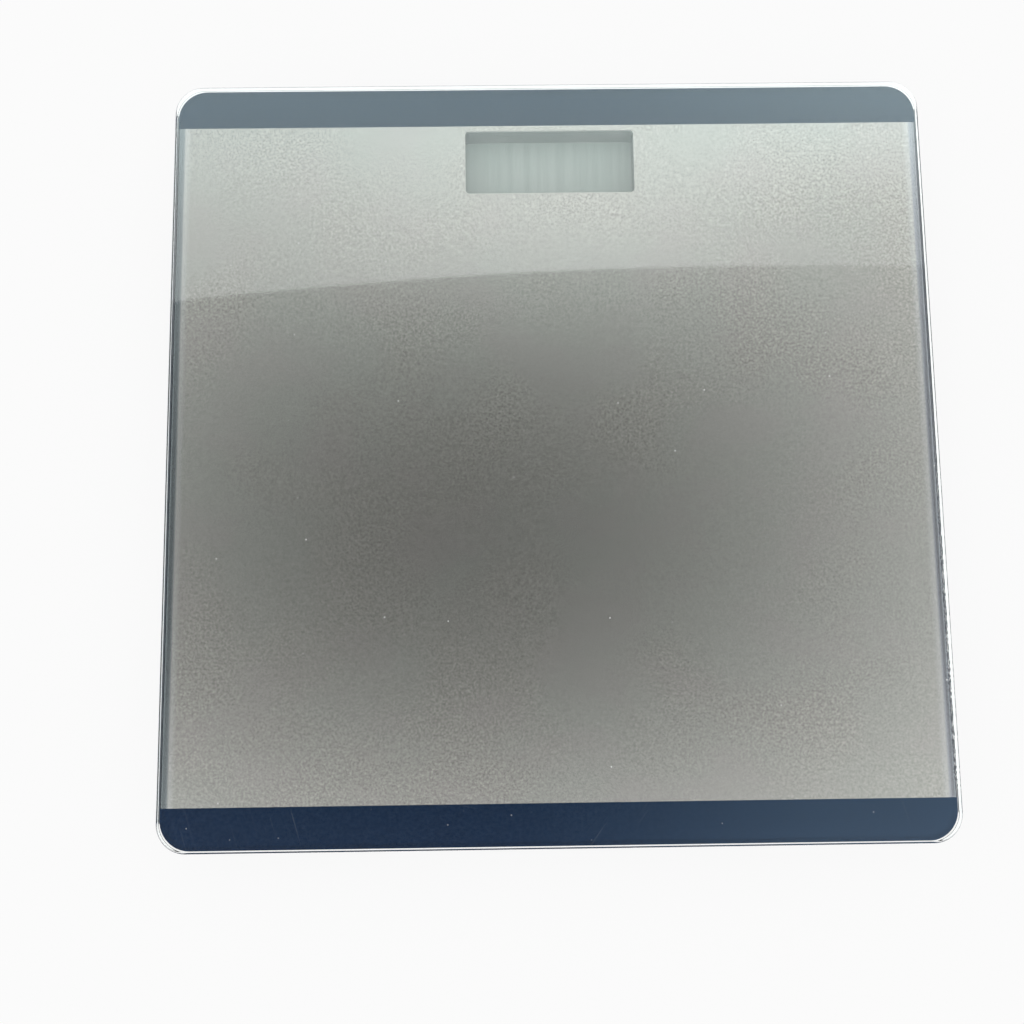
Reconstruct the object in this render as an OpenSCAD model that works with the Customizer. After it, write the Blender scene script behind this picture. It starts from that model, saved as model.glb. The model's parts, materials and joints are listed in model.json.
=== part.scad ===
// Digital bathroom scale: a square glass platform on four weighing feet, with a display case under it.
// Millimetres. The origin is the centre of the footprint on the floor, +Y is the display end, +Z is up.

/* [Glass platform] */
// Width and depth of the square platform
glass_w = 280; // [272:1:300]
// Thickness of the tempered glass
glass_t = 5; // [4:0.5:8]
// Radius of the platform's corners
glass_r = 10.5; // [6:0.5:20]
// Width of the small bevels along the ground edges
glass_arris = 0.5; // [0.2:0.1:1]
// Height of the glass underside above the floor
stand_h = 17; // [17:0.5:20]

/* [Print under the glass] */
// Bare rim between the print and the glass edge
ink_margin = 0.4; // [0.3:0.1:2]
// Depth of the dark bands along the rear and front edges
band_d = 14.6; // [12:0.1:18]
// Thickness of each printed colour
ink_t = 0.1; // [0.05:0.05:0.2]
// Thickness of the cover coat behind the colours
coat_t = 0.1; // [0.05:0.05:0.2]
// Room between the glass and the print
ink_gap = 0.05; // [0.02:0.01:0.1]
// Width of the display window
window_w = 63.6; // [58:0.2:66]
// Depth of the display window
window_d = 24.6; // [22:0.2:28]
// Corner radius of the display window
window_r = 1.5; // [0.5:0.5:3]
// Distance from the rear band to the window
window_gap = 2; // [1:0.5:6]
// Sideways shift of the window from the centre line
window_shift = 0.6; // [-2:0.1:2]

/* [Feet] */
// Distance from the glass edge to a foot's centre
foot_inset = 36; // [32:1:44]
// Outer diameter of a foot housing
foot_d = 52; // [51:0.5:56]
// Wall thickness of a foot housing
foot_wall = 2; // [1.5:0.1:2.2]
// Roof thickness of a foot housing
foot_roof = 1.5; // [1.2:0.1:2]
// Height of the housing's lower rim above the floor
foot_lift = 5; // [4.5:0.1:5.5]
// Height of the inner lip that keeps the cap in
lip_h = 1.2; // [0.8:0.1:1.4]
// Reach of the inner lip
lip_w = 3; // [2.6:0.1:3.4]
// Thickness of the foam tape on housings and case
tape_t = 0.8; // [0.5:0.1:1]
// Clearance around and above the cap in its housing
cap_clear = 0.4; // [0.35:0.05:0.5]
// Thickness of the cap's flange, floor and ribs
cap_wall = 1.2; // [0.8:0.1:1.6]
// Diameter of the post that presses on the load cell
post_d = 9; // [7:0.5:11]
// Number of stiffening ribs in the cap
cap_ribs = 6; // [4:1:8]
// Diameter of the rubber pad
pad_d = 35; // [30:0.5:37]
// Thickness of the rubber pad
pad_t = 2.8; // [2.4:0.1:3]
// Depth of the pad's seat in the cap
pad_seat = 0.8; // [0.4:0.1:1]
// Depth of the grip groove in the pad
pad_groove = 0.6; // [0.3:0.1:1]
// Width of the groove in the rubber pad
groove_w = 1.5; // [1:0.1:2]
// Distance from the pad's edge to the groove
groove_in = 4; // [3:0.5:6]

/* [Load cells] */
// Width of the square load cell
cell_plate_w = 34; // [32:0.5:34.5]
// Thickness of the load cell's steel
cell_plate_t = 2; // [1.5:0.1:2.4]
// Corner radius of the load cell
cell_plate_r = 4; // [3:0.5:5]
// Width of the load cell's outer frame
cell_frame_w = 5; // [4:0.5:6]
// Width of the tongue that bends
tongue_w = 15; // [12:0.5:17]
// Width of the slot around the tongue
slot_w = 2.5; // [2:0.1:3]
// Free height above the load cell
bend_room = 3; // [2.6:0.1:3.2]
// Clearance between the load cell and its seat
seat_clear = 0.2; // [0.1:0.05:0.3]
// Width of the walls around the load cell's seat
seat_wall = 1.3; // [1:0.1:1.4]
// Gap between the post and the load cell
post_gap = 0.4; // [0.35:0.05:0.5]
// Width of the resin over the strain gauge
gauge_w = 11; // [9:0.5:12]
// Length of the resin over the strain gauge
gauge_d = 6; // [4:0.5:7]
// Height of the resin over the strain gauge
gauge_h = 1.6; // [1.5:0.1:2]

/* [Leads] */
// Width of the flat three-core lead
lead_w = 3.9; // [3:0.1:4.5]
// Thickness of the lead
lead_t = 1.3; // [1:0.1:1.4]
// Clearance around a lead in its clips and notches
lead_clear = 0.25; // [0.15:0.05:0.4]
// Length over which a lead rises or drops to another height
lead_slope = 8; // [7:0.5:10]
// Level length of a lead outside a housing or the case
lead_level = 2; // [2:0.5:4]
// Length of a lead's end on the board
lead_end = 4; // [3:0.5:5]
// Distance between the leads at the board
lead_pitch = 8; // [7:0.25:8.5]
// Length of a lead clip along the lead
clip_l = 8; // [6:0.5:10]
// Width of a lead clip
clip_w = 12; // [10:0.5:14]
// Corner radius of a clip
clip_r = 1.5; // [0.5:0.1:2]
// Thickness of a lead clip's bridge
clip_t = 0.9; // [0.7:0.1:1.2]

/* [Display case] */
// Width of the display case
case_w = 112; // [108:1:118]
// Corner radius of the display case
case_r = 5; // [3:0.5:6]
// Wall thickness of the display case
case_wall = 2; // [1.5:0.1:2.5]
// Roof thickness of the display case
case_roof = 1; // [0.8:0.1:1.2]
// Height of the case above the floor
case_lift = 2.5; // [2.3:0.1:2.7]
// Thickness of the lower cover
cover_t = 2; // [1.8:0.1:2.2]
// Bevel around the lower cover
cover_bevel = 0.6; // [0.3:0.1:1]
// Distance from the window's rear edge to the back of the case
case_behind = 8; // [7.5:0.5:10]
// Thickness of the walls of the display well and of the battery bay
rib_t = 1.2; // [1:0.1:1.5]
// How far the well is set back from the print's edge
well_clear = 0.2; // [0.1:0.05:0.4]
// Depth of the display face below the glass underside
well_depth = 8; // [7:0.1:8.4]

/* [Display] */
// Thickness of each polarising film
film_t = 0.25; // [0.15:0.05:0.3]
// Thickness of each LCD glass
lcd_t = 0.7; // [0.5:0.05:0.8]
// How far the LCD reaches past the window
lcd_over = 1.5; // [1.3:0.1:2]
// Width of the LCD's contact ledge
ledge_w = 2.8; // [2.4:0.1:3.2]
// Clearance around the LCD in its holder
lcd_clear = 0.2; // [0.1:0.05:0.3]
// Floor thickness of the LCD holder
holder_t = 1.4; // [1:0.1:1.6]
// Width of the heat-seal ribbon
ribbon_w = 24; // [18:1:26]
// Thickness of the heat-seal ribbon
ribbon_t = 0.2; // [0.15:0.05:0.3]
// Length of the ribbon's bond to the board
ribbon_bond = 4; // [3:0.5:5]

/* [Circuit board and unit button] */
// Width of the circuit board
board_w = 39; // [37:0.5:40]
// Depth of the circuit board
board_d = 22; // [20:0.5:22.5]
// Thickness of the circuit board
board_t = 1.2; // [0.8:0.1:1.4]
// Gap between the battery bay's wall and the board
board_gap = 1; // [0.5:0.1:1.5]
// Length of the posts that hold the board
board_post = 4; // [3.9:0.1:4.4]
// Width of the switch under the board
switch_w = 6; // [5:0.5:7]
// Height of the switch
switch_h = 3.5; // [3.2:0.1:3.6]
// Diameter of the switch plunger
plunger_d = 3.4; // [2.6:0.1:3.8]
// Distance from the switch to the board's left edge
switch_x = 24; // [22:0.5:26]
// Diameter of the unit button
button_d = 9; // [7:0.5:10]
// Width of the flange that keeps the button in
button_flange = 1.4; // [1:0.1:2]
// Clearance around the button, the plunger and the flange
button_clear = 0.3; // [0.25:0.05:0.35]
// Travel of the unit button
button_travel = 0.5; // [0.2:0.1:0.5]
// How far the button stands out of the lower cover
button_proud = 0.3; // [0:0.1:0.5]

/* [Batteries] */
// Diameter of a cell
cell_d = 10.5; // [10:0.1:10.5]
// Length of a cell with its cap
cell_l = 44.5; // [43.5:0.1:44.5]
// Diameter of the cell's cap
cap_nub_d = 3.8; // [3.2:0.1:4.4]
// Height of the cell's cap
cap_nub_h = 0.8; // [0.6:0.1:1]
// Distance between the cells' axes
cell_pitch = 12.5; // [11.5:0.1:13]
// Distance from the case wall to the battery bay
bay_margin = 4; // [3.5:0.1:5]
// Clearance between the cells and the bay
cell_clear = 0.8; // [0.5:0.1:1.2]
// Gap between the cells and the battery cover
cell_drop = 0.35; // [0.3:0.05:0.4]
// Thickness of the contact plates
contact_t = 0.4; // [0.3:0.05:0.5]
// Width of a single contact plate
contact_w = 9; // [8:0.5:10]
// Height of the contact plates
contact_h = 8; // [7:0.5:8.5]
// Width of a contact's solder tab
tab_w = 3; // [2:0.5:4]
// Height of the dimple that meets a cell's cap
dimple_h = 0.8; // [0.5:0.1:1]
// Length of a pressed cell spring
spring_l = 4.4; // [3.5:0.1:5.5]
// Wire diameter of the springs
spring_wire = 0.6; // [0.4:0.1:0.7]
// Turns of a spring
spring_turns = 4; // [3:1:5]
// Outer radius of a spring at its plate
spring_r = 3.9; // [3.4:0.1:4.2]
// Outer radius of a spring at the cell
spring_tip_r = 2.6; // [2.2:0.1:3]

/* [Battery cover] */
// Thickness of the edges that carry the battery cover
rail_t = 0.7; // [0.6:0.05:0.8]
// Height of the grooves for the battery cover
groove_h = 0.9; // [0.8:0.05:0.9]
// Depth of the grooves for the battery cover
groove_d = 1; // [0.8:0.1:1.2]
// Clearance around the battery cover
door_clear = 0.15; // [0.1:0.05:0.2]
// Number of thumb ribs on the battery cover
thumb_ribs = 6; // [4:1:8]
// Length of a thumb rib
thumb_w = 16; // [12:1:24]
// Height of a thumb rib
thumb_h = 0.3; // [0.2:0.1:0.4]

/* [Screws] */
// Shank diameter of the lower cover's screws
cover_screw_d = 2.4; // [2:0.1:2.6]
// Length of the lower cover's screws
cover_screw_l = 9; // [7:0.5:10]
// How far a screw boss is merged into the wall beside it
boss_sink = 0.4; // [0.3:0.1:0.6]
// Head diameter of the lower cover's screws
cover_head_d = 4.8; // [4.4:0.1:5.2]
// Shank diameter of the board's screws
board_screw_d = 2; // [1.6:0.1:2.2]
// Length of the board's screws under the head
board_screw_l = 4; // [3.5:0.1:4.5]
// Head diameter of the board's screws
board_head_d = 3.8; // [3.4:0.1:4.2]
// Clearance of a screw in its hole
screw_clear = 0.1; // [0.05:0.05:0.15]

/* [Hidden] */
$fn = 64;
hair = 0.01;
CORNERS = ["front_left", "front_right", "rear_left", "rear_right"];
SIDE = [[-1, -1], [1, -1], [-1, 1], [1, 1]];

// Heights from the glass down
z_glass = stand_h;
z_ink = stand_h - ink_gap - ink_t;
z_coat = z_ink - coat_t;
z_glue = z_coat - tape_t;

// Print and window
ink_w = glass_w - 2 * ink_margin;
ink_r = glass_r - ink_margin;
silver_d = ink_w - 2 * band_d;
window_x = window_shift;
window_y = silver_d / 2 - window_gap - window_d / 2;

// Feet, from the housing's roof down
foot_at = glass_w / 2 - foot_inset;
foot_r = foot_d / 2;
foot_in_r = foot_r - foot_wall;
z_roof = z_glue - foot_roof;
z_plate_top = z_roof - bend_room;
z_plate = z_plate_top - cell_plate_t;
z_lip = foot_lift + lip_h;
seat_w = cell_plate_w + 2 * seat_clear;
hollow_w = cell_plate_w - 2 * cell_frame_w;
cap_r = foot_in_r - lip_w - cap_clear;
flange_r = foot_in_r - cap_clear;
z_cap = pad_t - pad_seat;
z_flange = z_lip + cap_clear / 2;
z_post_top = z_plate - post_gap;
gauge_at = hollow_w / 2 - gauge_d / 2;

// Display case and what it holds, from the well forward to the front wall
z_case = case_lift;
z_cover_top = case_lift + cover_t;
z_case_roof = z_glue - case_roof;
z_lcd = z_glass - well_depth;
well_w = window_w + 2 * well_clear;
well_d = window_d + 2 * well_clear;
lcd_w = window_w + 2 * lcd_over;
lcd_d = window_d + 2 * lcd_over;
z_front_glass = z_lcd - film_t - lcd_t;
z_rear_glass = z_front_glass - lcd_t;
z_reflector = z_rear_glass - film_t;
z_holder = z_reflector - holder_t;
holder_w = lcd_w + 2 * lcd_clear + 2 * rib_t;
holder_y1 = window_y + lcd_d / 2 + lcd_clear + rib_t;
holder_y0 = window_y - lcd_d / 2 - ledge_w - lcd_clear - rib_t;
case_y1 = window_y + window_d / 2 + case_behind;
bay_d = cell_pitch + cell_d + 2 * cell_clear;
bay_y1 = holder_y0 - lcd_clear - rib_t;
bay_y0 = bay_y1 - bay_d;
case_y0 = bay_y0 - case_wall;
case_d = case_y1 - case_y0;
case_y = (case_y0 + case_y1) / 2;
ribbon_x = window_x + lcd_w / 2 - ribbon_w / 2 - 1;
in_w = case_w - 2 * case_wall;
bay_l = cell_l + spring_l + dimple_h + 2 * contact_t;
bay_x0 = -in_w / 2 + bay_margin;
bay_x1 = bay_x0 + bay_l;

// Circuit board
board_x0 = bay_x1 + rib_t + board_gap;
board_y0 = bay_y0 + board_gap;
z_board_top = z_case_roof - board_post;
z_board = z_board_top - board_t;
screw_edge = board_head_d / 2 + 1;
BOARD_SCREWS = [
    [board_x0 + screw_edge, board_y0 + screw_edge],
    [board_x0 + board_w - screw_edge, board_y0 + board_d - screw_edge]
];
post_out_d = board_screw_d + 2 * screw_clear + 2 * rib_t;
board_head_h = 1.2;
z_switch = z_board - switch_h;
button_at = [board_x0 + switch_x, board_y0 + board_d / 2];
flange_t = 0.7;
z_button_flange = z_cover_top + button_clear / 2;
z_button_top = z_button_flange + flange_t;
plunger_r = plunger_d / 2;
plunger_in = 1;
z_button = z_case - button_proud;

// Cells and their contacts
z_door_top = z_case + rail_t + groove_h - door_clear;
z_cell = z_door_top + cell_drop + cell_d / 2;
bay_y = (bay_y0 + bay_y1) / 2;
front_cell_y = bay_y - cell_pitch / 2;
rear_cell_y = bay_y + cell_pitch / 2;
rear_cell_x0 = bay_x0 + contact_t + dimple_h;
front_cell_x0 = bay_x0 + contact_t + spring_l;

// Cover screws
boss_d = cover_screw_d + 2 * screw_clear + 2 * rib_t;
boss_in = boss_d / 2 + case_wall - boss_sink;
boss_y0 = bay_y1 + rib_t + boss_d / 2 - boss_sink;
boss_y1 = case_y1 - boss_in;
COVER_SCREWS = [for (side = [-1, 1], y = [boss_y0, boss_y1]) [side * (case_w / 2 - boss_in), y]];
cone_h = (cover_head_d - cover_screw_d) / 2;

// Leads: each starts at its gauge, rises to the glass, follows the underside and ends on the board
z_lead_foot = z_plate_top + gauge_h / 2;
z_lead = z_coat - lead_t / 2 - hair;
z_lead_board = z_board_top + lead_t / 2 + hair;
notch_w = lead_w + 4 * lead_clear;
notch_drop = 0.5;
ENTRY_ORDER = [1, 2, 0, 3];
// Under the glass a lead's points are shares: x of foot_at, and y of the way from the front feet to the case
ROUTES = [
    [[-0.62, 0.25], [-0.29, 0.51], [0.06, 0.76], [0.18, 0.88]],
    [[0.63, 0.26], [0.48, 0.51], [0.37, 0.74], [0.32, 0.88]],
    [[-0.69, 1], [-0.54, 0.92], [-0.29, 0.9], [0, 0.9], [0.1, 0.93]],
    [[0.69, 1], [0.58, 0.93], [0.46, 0.92]]
];
// Rings of each lead that a clip holds
CLIPS = [[14, 19, 24], [15, 20, 24], [20, 23], [16]];
// Rings from one point of a lead to the next
steps = 3;

// A rectangle with round corners, centred
module rounded_rect(w, d, r) {
    square([w - 2 * r, d], center = true);
    square([w, d - 2 * r], center = true);
    for (x = [-1, 1], y = [-1, 1])
        translate([x * (w / 2 - r), y * (d / 2 - r)])
            circle(r);
}

module slab(w, d, h, r) {
    linear_extrude(h) rounded_rect(w, d, r);
}

// A slab with beveled edges: b0 around the lower face and b1 around the upper face
module beveled_slab(w, d, h, r, b0, b1) {
    module profile(half) {
        polygon([[0, 0], [half - b0, 0], [half, b0], [half, h - b1], [half - b1, h], [0, h]]);
    }
    module bar(length, half) {
        for (turn = [0, 180])
            rotate([90, 0, turn])
                translate([0, 0, -length / 2])
                    linear_extrude(length) profile(half);
    }
    bar(d - 2 * r, w / 2);
    rotate([0, 0, 90]) bar(w - 2 * r, d / 2);
    for (x = [-1, 1], y = [-1, 1])
        translate([x * (w / 2 - r), y * (d / 2 - r), 0])
            rotate_extrude() profile(r);
}

module at_z(z) {
    translate([0, 0, z]) children();
}

// Puts a foot's piece at corner i, with its +X towards the platform's centre
module at_foot(i) {
    side = SIDE[i];
    translate([side.x * foot_at, side.y * foot_at, 0])
        rotate([0, 0, atan2(-side.y, -side.x)])
            children();
}

// Glass and print

module glass_platform() {
    color([0.78, 0.9, 0.87, 0.4])
        at_z(z_glass)
            beveled_slab(glass_w, glass_w, glass_t, glass_r, glass_arris, glass_arris);
}

module window_cut(grow, r) {
    translate([window_x, window_y])
        rounded_rect(window_w + 2 * grow, window_d + 2 * grow, r);
}

module silver_print() {
    color([0.56, 0.56, 0.53])
        at_z(z_ink)
            linear_extrude(ink_t)
                difference() {
                    square([ink_w, silver_d], center = true);
                    window_cut(0, window_r);
                }
}

module band(side) {
    color([0.1, 0.16, 0.25])
        at_z(z_ink)
            linear_extrude(ink_t)
                intersection() {
                    rounded_rect(ink_w, ink_w, ink_r);
                    translate([0, side * (silver_d + band_d) / 2])
                        square([ink_w, band_d], center = true);
                }
}

module rear_band() {
    band(1);
}

module front_band() {
    band(-1);
}

module cover_coat() {
    color([0.72, 0.73, 0.73])
        at_z(z_coat)
            linear_extrude(coat_t)
                difference() {
                    rounded_rect(ink_w, ink_w, ink_r);
                    window_cut(0, window_r);
                }
}

// Feet

module foot_tape(i) {
    color([0.93, 0.93, 0.9])
        at_foot(i)
            at_z(z_glue)
                difference() {
                    cylinder(h = tape_t, r = foot_r - 1);
                    at_z(-1) cylinder(h = tape_t + 2, r = post_d);
                }
}

module foot_housing(i) {
    seat_out = seat_w + 2 * seat_wall;
    seat_r = cell_plate_r + seat_clear;
    color([0.9, 0.9, 0.88])
        at_foot(i)
            difference() {
                union() {
                    difference() {
                        at_z(foot_lift) cylinder(h = z_glue - foot_lift, r = foot_r);
                        at_z(foot_lift - 1) cylinder(h = 2 + lip_h, r = foot_in_r - lip_w);
                        at_z(z_lip) cylinder(h = z_roof - z_lip, r = foot_in_r);
                    }
                    at_z(z_plate)
                        intersection() {
                            slab(seat_out, seat_out, z_roof - z_plate + hair, seat_r + seat_wall);
                            cylinder(h = z_roof, r = foot_in_r + hair);
                        }
                }
                at_z(z_plate - 1) slab(seat_w, seat_w, cell_plate_t + 1, seat_r);
                at_z(z_plate) slab(hollow_w, hollow_w, z_roof - z_plate, 1);
                translate([hollow_w / 2 - 1, -notch_w / 2, z_plate_top - notch_drop])
                    cube([foot_r, notch_w, notch_drop + gauge_h + 2 * lead_clear]);
            }
}

module load_cell(i) {
    slot_in = hollow_w / 2 - slot_w;
    color([0.72, 0.73, 0.75])
        at_foot(i)
            at_z(z_plate)
                linear_extrude(cell_plate_t)
                    difference() {
                        rounded_rect(cell_plate_w, cell_plate_w, cell_plate_r);
                        difference() {
                            rounded_rect(hollow_w, hollow_w, 1);
                            translate([(hollow_w / 2 - slot_in) / 2, 0])
                                square([hollow_w / 2 + slot_in, tongue_w], center = true);
                        }
                    }
}

module gauge_resin(i) {
    color([0.95, 0.95, 0.93])
        at_foot(i)
            translate([gauge_at, 0, z_plate_top])
                slab(gauge_d, gauge_w, gauge_h, 1.5);
}

module foot_cap(i) {
    in_r = cap_r - 1.5 * cap_wall;
    rib_h = z_flange - z_cap - pad_seat;
    color([0.86, 0.86, 0.84])
        at_foot(i)
            difference() {
                union() {
                    difference() {
                        union() {
                            at_z(z_cap) cylinder(h = z_flange + cap_wall - z_cap, r = cap_r);
                            at_z(z_flange) cylinder(h = cap_wall, r = flange_r);
                        }
                        at_z(z_cap + pad_seat + cap_wall) cylinder(h = z_flange, r = in_r);
                    }
                    at_z(z_cap) cylinder(h = z_post_top - z_cap, r = post_d / 2);
                    for (k = [0:cap_ribs - 1])
                        rotate([0, 0, k * 360 / cap_ribs])
                            translate([0, -cap_wall / 2, z_cap + pad_seat])
                                cube([in_r + hair, cap_wall, rib_h]);
                }
                at_z(z_cap - 1) cylinder(h = pad_seat + 1, r = pad_d / 2 + hair);
            }
}

module foot_pad(i) {
    groove_r = pad_d / 2 - groove_in;
    color([0.2, 0.2, 0.21])
        at_foot(i)
            difference() {
                cylinder(h = pad_t, r = pad_d / 2);
                at_z(-1)
                    difference() {
                        cylinder(h = 1 + pad_groove, r = groove_r);
                        at_z(-1) cylinder(h = 3 + pad_groove, r = groove_r - groove_w);
                    }
            }
}

// Leads: a smooth curve through the route's points, and the flat lead swept along it

function spline(p0, p1, p2, p3, t) =
    ((2 * p1) + (p2 - p0) * t + (2 * p0 - 5 * p1 + 4 * p2 - p3) * t * t
        + (3 * p1 - p0 - 3 * p2 + p3) * t * t * t) / 2;

function curve(p) = [
    for (k = [0:len(p) - 2], s = [0:steps - 1])
        spline(p[max(k - 1, 0)], p[k], p[k + 1], p[min(k + 2, len(p) - 1)], s / steps),
    p[len(p) - 1]
];

function foot_point(i, along, z) =
    let (reach = foot_at - along / sqrt(2))
    [SIDE[i].x * reach, SIDE[i].y * reach, z];

function entry_x(i) = board_x0 + screw_edge + lead_pitch * (1 + ENTRY_ORDER[i]);

function route_point(p) = [p.x * foot_at, p.y * (case_y0 + foot_at) - foot_at, z_lead];

function lead_points(i) =
    let (slope_y = case_y0 - lead_level)
    [
        foot_point(i, hollow_w / 2 + hair, z_lead_foot),
        foot_point(i, cell_plate_w / 2, z_lead_foot),
        foot_point(i, foot_in_r, z_lead_foot),
        foot_point(i, foot_r + lead_level, z_lead_foot),
        foot_point(i, foot_r + lead_level + lead_slope, z_lead),
        for (p = ROUTES[i]) route_point(p),
        [entry_x(i), slope_y - lead_slope, z_lead],
        [entry_x(i), slope_y, z_lead_board],
        [entry_x(i), board_y0, z_lead_board],
        [entry_x(i), board_y0 + lead_end, z_lead_board]
    ];

// The lead's centre line, kept under the cover coat
function lead_line(i) = [for (p = curve(lead_points(i))) [p.x, p.y, min(p.z, z_lead)]];

function direction(line, k) =
    let (d = line[min(k + 1, len(line) - 1)] - line[max(k - 1, 0)])
    d / norm(d);

function lead_ring(p, d) =
    let (side = [-d.y, d.x, 0] / norm([d.x, d.y, 0]), up = cross(d, side), r = lead_t / 2)
    [for (a = [0:30:330]) p + side * (sign(round(cos(a) * 10)) * (lead_w / 2 - r) + r * cos(a)) + up * r * sin(a)];

// Joins rings of the same length into one closed solid
module swept(rings) {
    n = len(rings[0]);
    last = len(rings) - 1;
    polyhedron(
        points = [for (ring = rings) each ring],
        faces = [
            [for (k = [0:n - 1]) k],
            for (j = [0:last - 1], k = [0:n - 1])
                each [
                    [j * n + k, (j + 1) * n + k, j * n + (k + 1) % n],
                    [j * n + (k + 1) % n, (j + 1) * n + k, (j + 1) * n + (k + 1) % n]
                ],
            [for (k = [n - 1:-1:0]) last * n + k]
        ]
    );
}

module lead(i) {
    line = lead_line(i);
    color([0.85, 0.2, 0.15])
        swept([for (k = [0:len(line) - 1]) lead_ring(line[k], direction(line, k))]);
}

module lead_clips() {
    tunnel_h = lead_t + 2 * hair + lead_clear;
    clip_h = tunnel_h + clip_t;
    tunnel_w = lead_w + 2 * lead_clear;
    color([0.9, 0.9, 0.88])
        for (i = [0:3], k = CLIPS[i]) {
            line = lead_line(i);
            d = direction(line, k);
            translate([line[k].x, line[k].y, z_coat - clip_h])
                rotate([0, 0, atan2(d.y, d.x)])
                    difference() {
                        slab(clip_l, clip_w, clip_h, clip_r);
                        translate([-clip_l, -tunnel_w / 2, clip_t])
                            cube([2 * clip_l, tunnel_w, clip_h]);
                    }
        }
}

// Display case

module case_tape() {
    color([0.93, 0.93, 0.9])
        at_z(z_glue)
            linear_extrude(tape_t)
                difference() {
                    translate([0, case_y])
                        rounded_rect(case_w - 1, case_d - 1, case_r - 0.5);
                    window_cut(well_clear + 1, window_r + 1);
                }
}

// Walls between the lower cover and the roof, around a box given by its inner corners
module bay_wall(x0, x1, y0, y1) {
    translate([x0, y0, z_cover_top])
        cube([x1 - x0, y1 - y0, z_case_roof - z_cover_top + hair]);
}

module upper_case() {
    in_r = case_r - case_wall;
    color([0.9, 0.9, 0.88])
        difference() {
            union() {
                translate([0, case_y, z_cover_top])
                    difference() {
                        slab(case_w, case_d, z_glue - z_cover_top, case_r);
                        at_z(-1)
                            slab(in_w, case_d - 2 * case_wall, z_case_roof - z_cover_top + 1, in_r);
                    }
                translate([bay_x0 + door_clear, case_y0, z_door_top + door_clear])
                    cube([bay_l - 2 * door_clear, case_wall, z_cover_top - z_door_top]);
                translate([window_x, window_y, z_lcd])
                    slab(well_w + 2 * rib_t, well_d + 2 * rib_t, z_case_roof - z_lcd + hair, window_r + rib_t);
                bay_wall(bay_x0 - rib_t, bay_x0, bay_y0 - hair, bay_y1 + rib_t);
                bay_wall(bay_x1, bay_x1 + rib_t, bay_y0 - hair, bay_y1 + rib_t);
                bay_wall(bay_x0 - rib_t, bay_x1 + rib_t, bay_y1, bay_y1 + rib_t);
                for (p = COVER_SCREWS)
                    translate([p.x, p.y, z_cover_top])
                        cylinder(h = z_case_roof - z_cover_top + hair, d = boss_d);
                for (p = BOARD_SCREWS)
                    translate([p.x, p.y, z_board_top])
                        cylinder(h = z_case_roof - z_board_top + hair, d = post_out_d);
            }
            translate([window_x, window_y, z_lcd - 1])
                slab(well_w, well_d, z_glue - z_lcd + 2, window_r + well_clear);
            for (p = COVER_SCREWS)
                translate([p.x, p.y, z_cover_top - 1])
                    cylinder(h = cover_screw_l, d = cover_screw_d + 2 * screw_clear);
            for (p = BOARD_SCREWS)
                translate([p.x, p.y, z_board_top - 1])
                    cylinder(h = board_screw_l, d = board_screw_d + 2 * screw_clear);
            for (i = [0:3])
                translate([entry_x(i) - notch_w / 2, case_y0 - 1, z_board_top - notch_drop])
                    cube([notch_w, case_wall + 2, lead_t + 3 * notch_drop]);
            for (y = [front_cell_y, rear_cell_y])
                translate([bay_x1 - 1, y - lead_clear, z_board_top - lead_clear])
                    cube([rib_t + 2, tab_w + 2 * lead_clear, contact_t + 2 * lead_clear]);
        }
}

module lower_cover() {
    support_in = 8;
    support_x = holder_w / 2 - support_in;
    support_d = window_d - support_in / 2;
    color([0.9, 0.9, 0.88])
        difference() {
            union() {
                translate([0, case_y, z_case])
                    beveled_slab(case_w, case_d, cover_t, case_r, cover_bevel, 0);
                for (side = [-1, 1])
                    translate([window_x + side * support_x - rib_t / 2, window_y - support_d / 2, z_case + hair])
                        cube([rib_t, support_d, z_holder - z_case - hair]);
            }
            translate([bay_x0, case_y0 - 1, z_case - 1])
                cube([bay_l, bay_y1 - case_y0 + 1, cover_t + 2]);
            translate([bay_x0 - groove_d, case_y0 - 1, z_case + rail_t])
                cube([bay_l + 2 * groove_d, bay_y1 - case_y0 + 1, groove_h]);
            translate([button_at.x, button_at.y, z_case - 1])
                cylinder(h = cover_t + 2, d = button_d + 2 * button_clear);
            for (p = COVER_SCREWS)
                translate([p.x, p.y, z_case]) {
                    at_z(-1) cylinder(h = cover_t + 2, d = cover_screw_d + 2 * screw_clear);
                    at_z(-hair)
                        cylinder(h = cone_h + 2 * screw_clear, d1 = cover_head_d + 4 * screw_clear,
                            d2 = cover_screw_d);
                }
        }
}

module cover_screws() {
    color([0.78, 0.79, 0.8])
        for (p = COVER_SCREWS)
            translate([p.x, p.y, z_case])
                difference() {
                    union() {
                        cylinder(h = cone_h, d1 = cover_head_d, d2 = cover_screw_d);
                        cylinder(h = cover_screw_l, d = cover_screw_d);
                    }
                    cross_slot(cover_head_d * 0.6);
                }
}

// The cross recess of a screw, in a head whose face is at z = 0
module cross_slot(w) {
    for (turn = [0, 90])
        rotate([0, 0, turn])
            translate([-w / 2, -0.3, -0.5])
                cube([w, 0.6, 1.2]);
}

// Display

module lcd_sheet(z, t, front_reach) {
    translate([window_x - lcd_w / 2, window_y - lcd_d / 2 - front_reach, z])
        cube([lcd_w, lcd_d + front_reach, t]);
}

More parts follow.
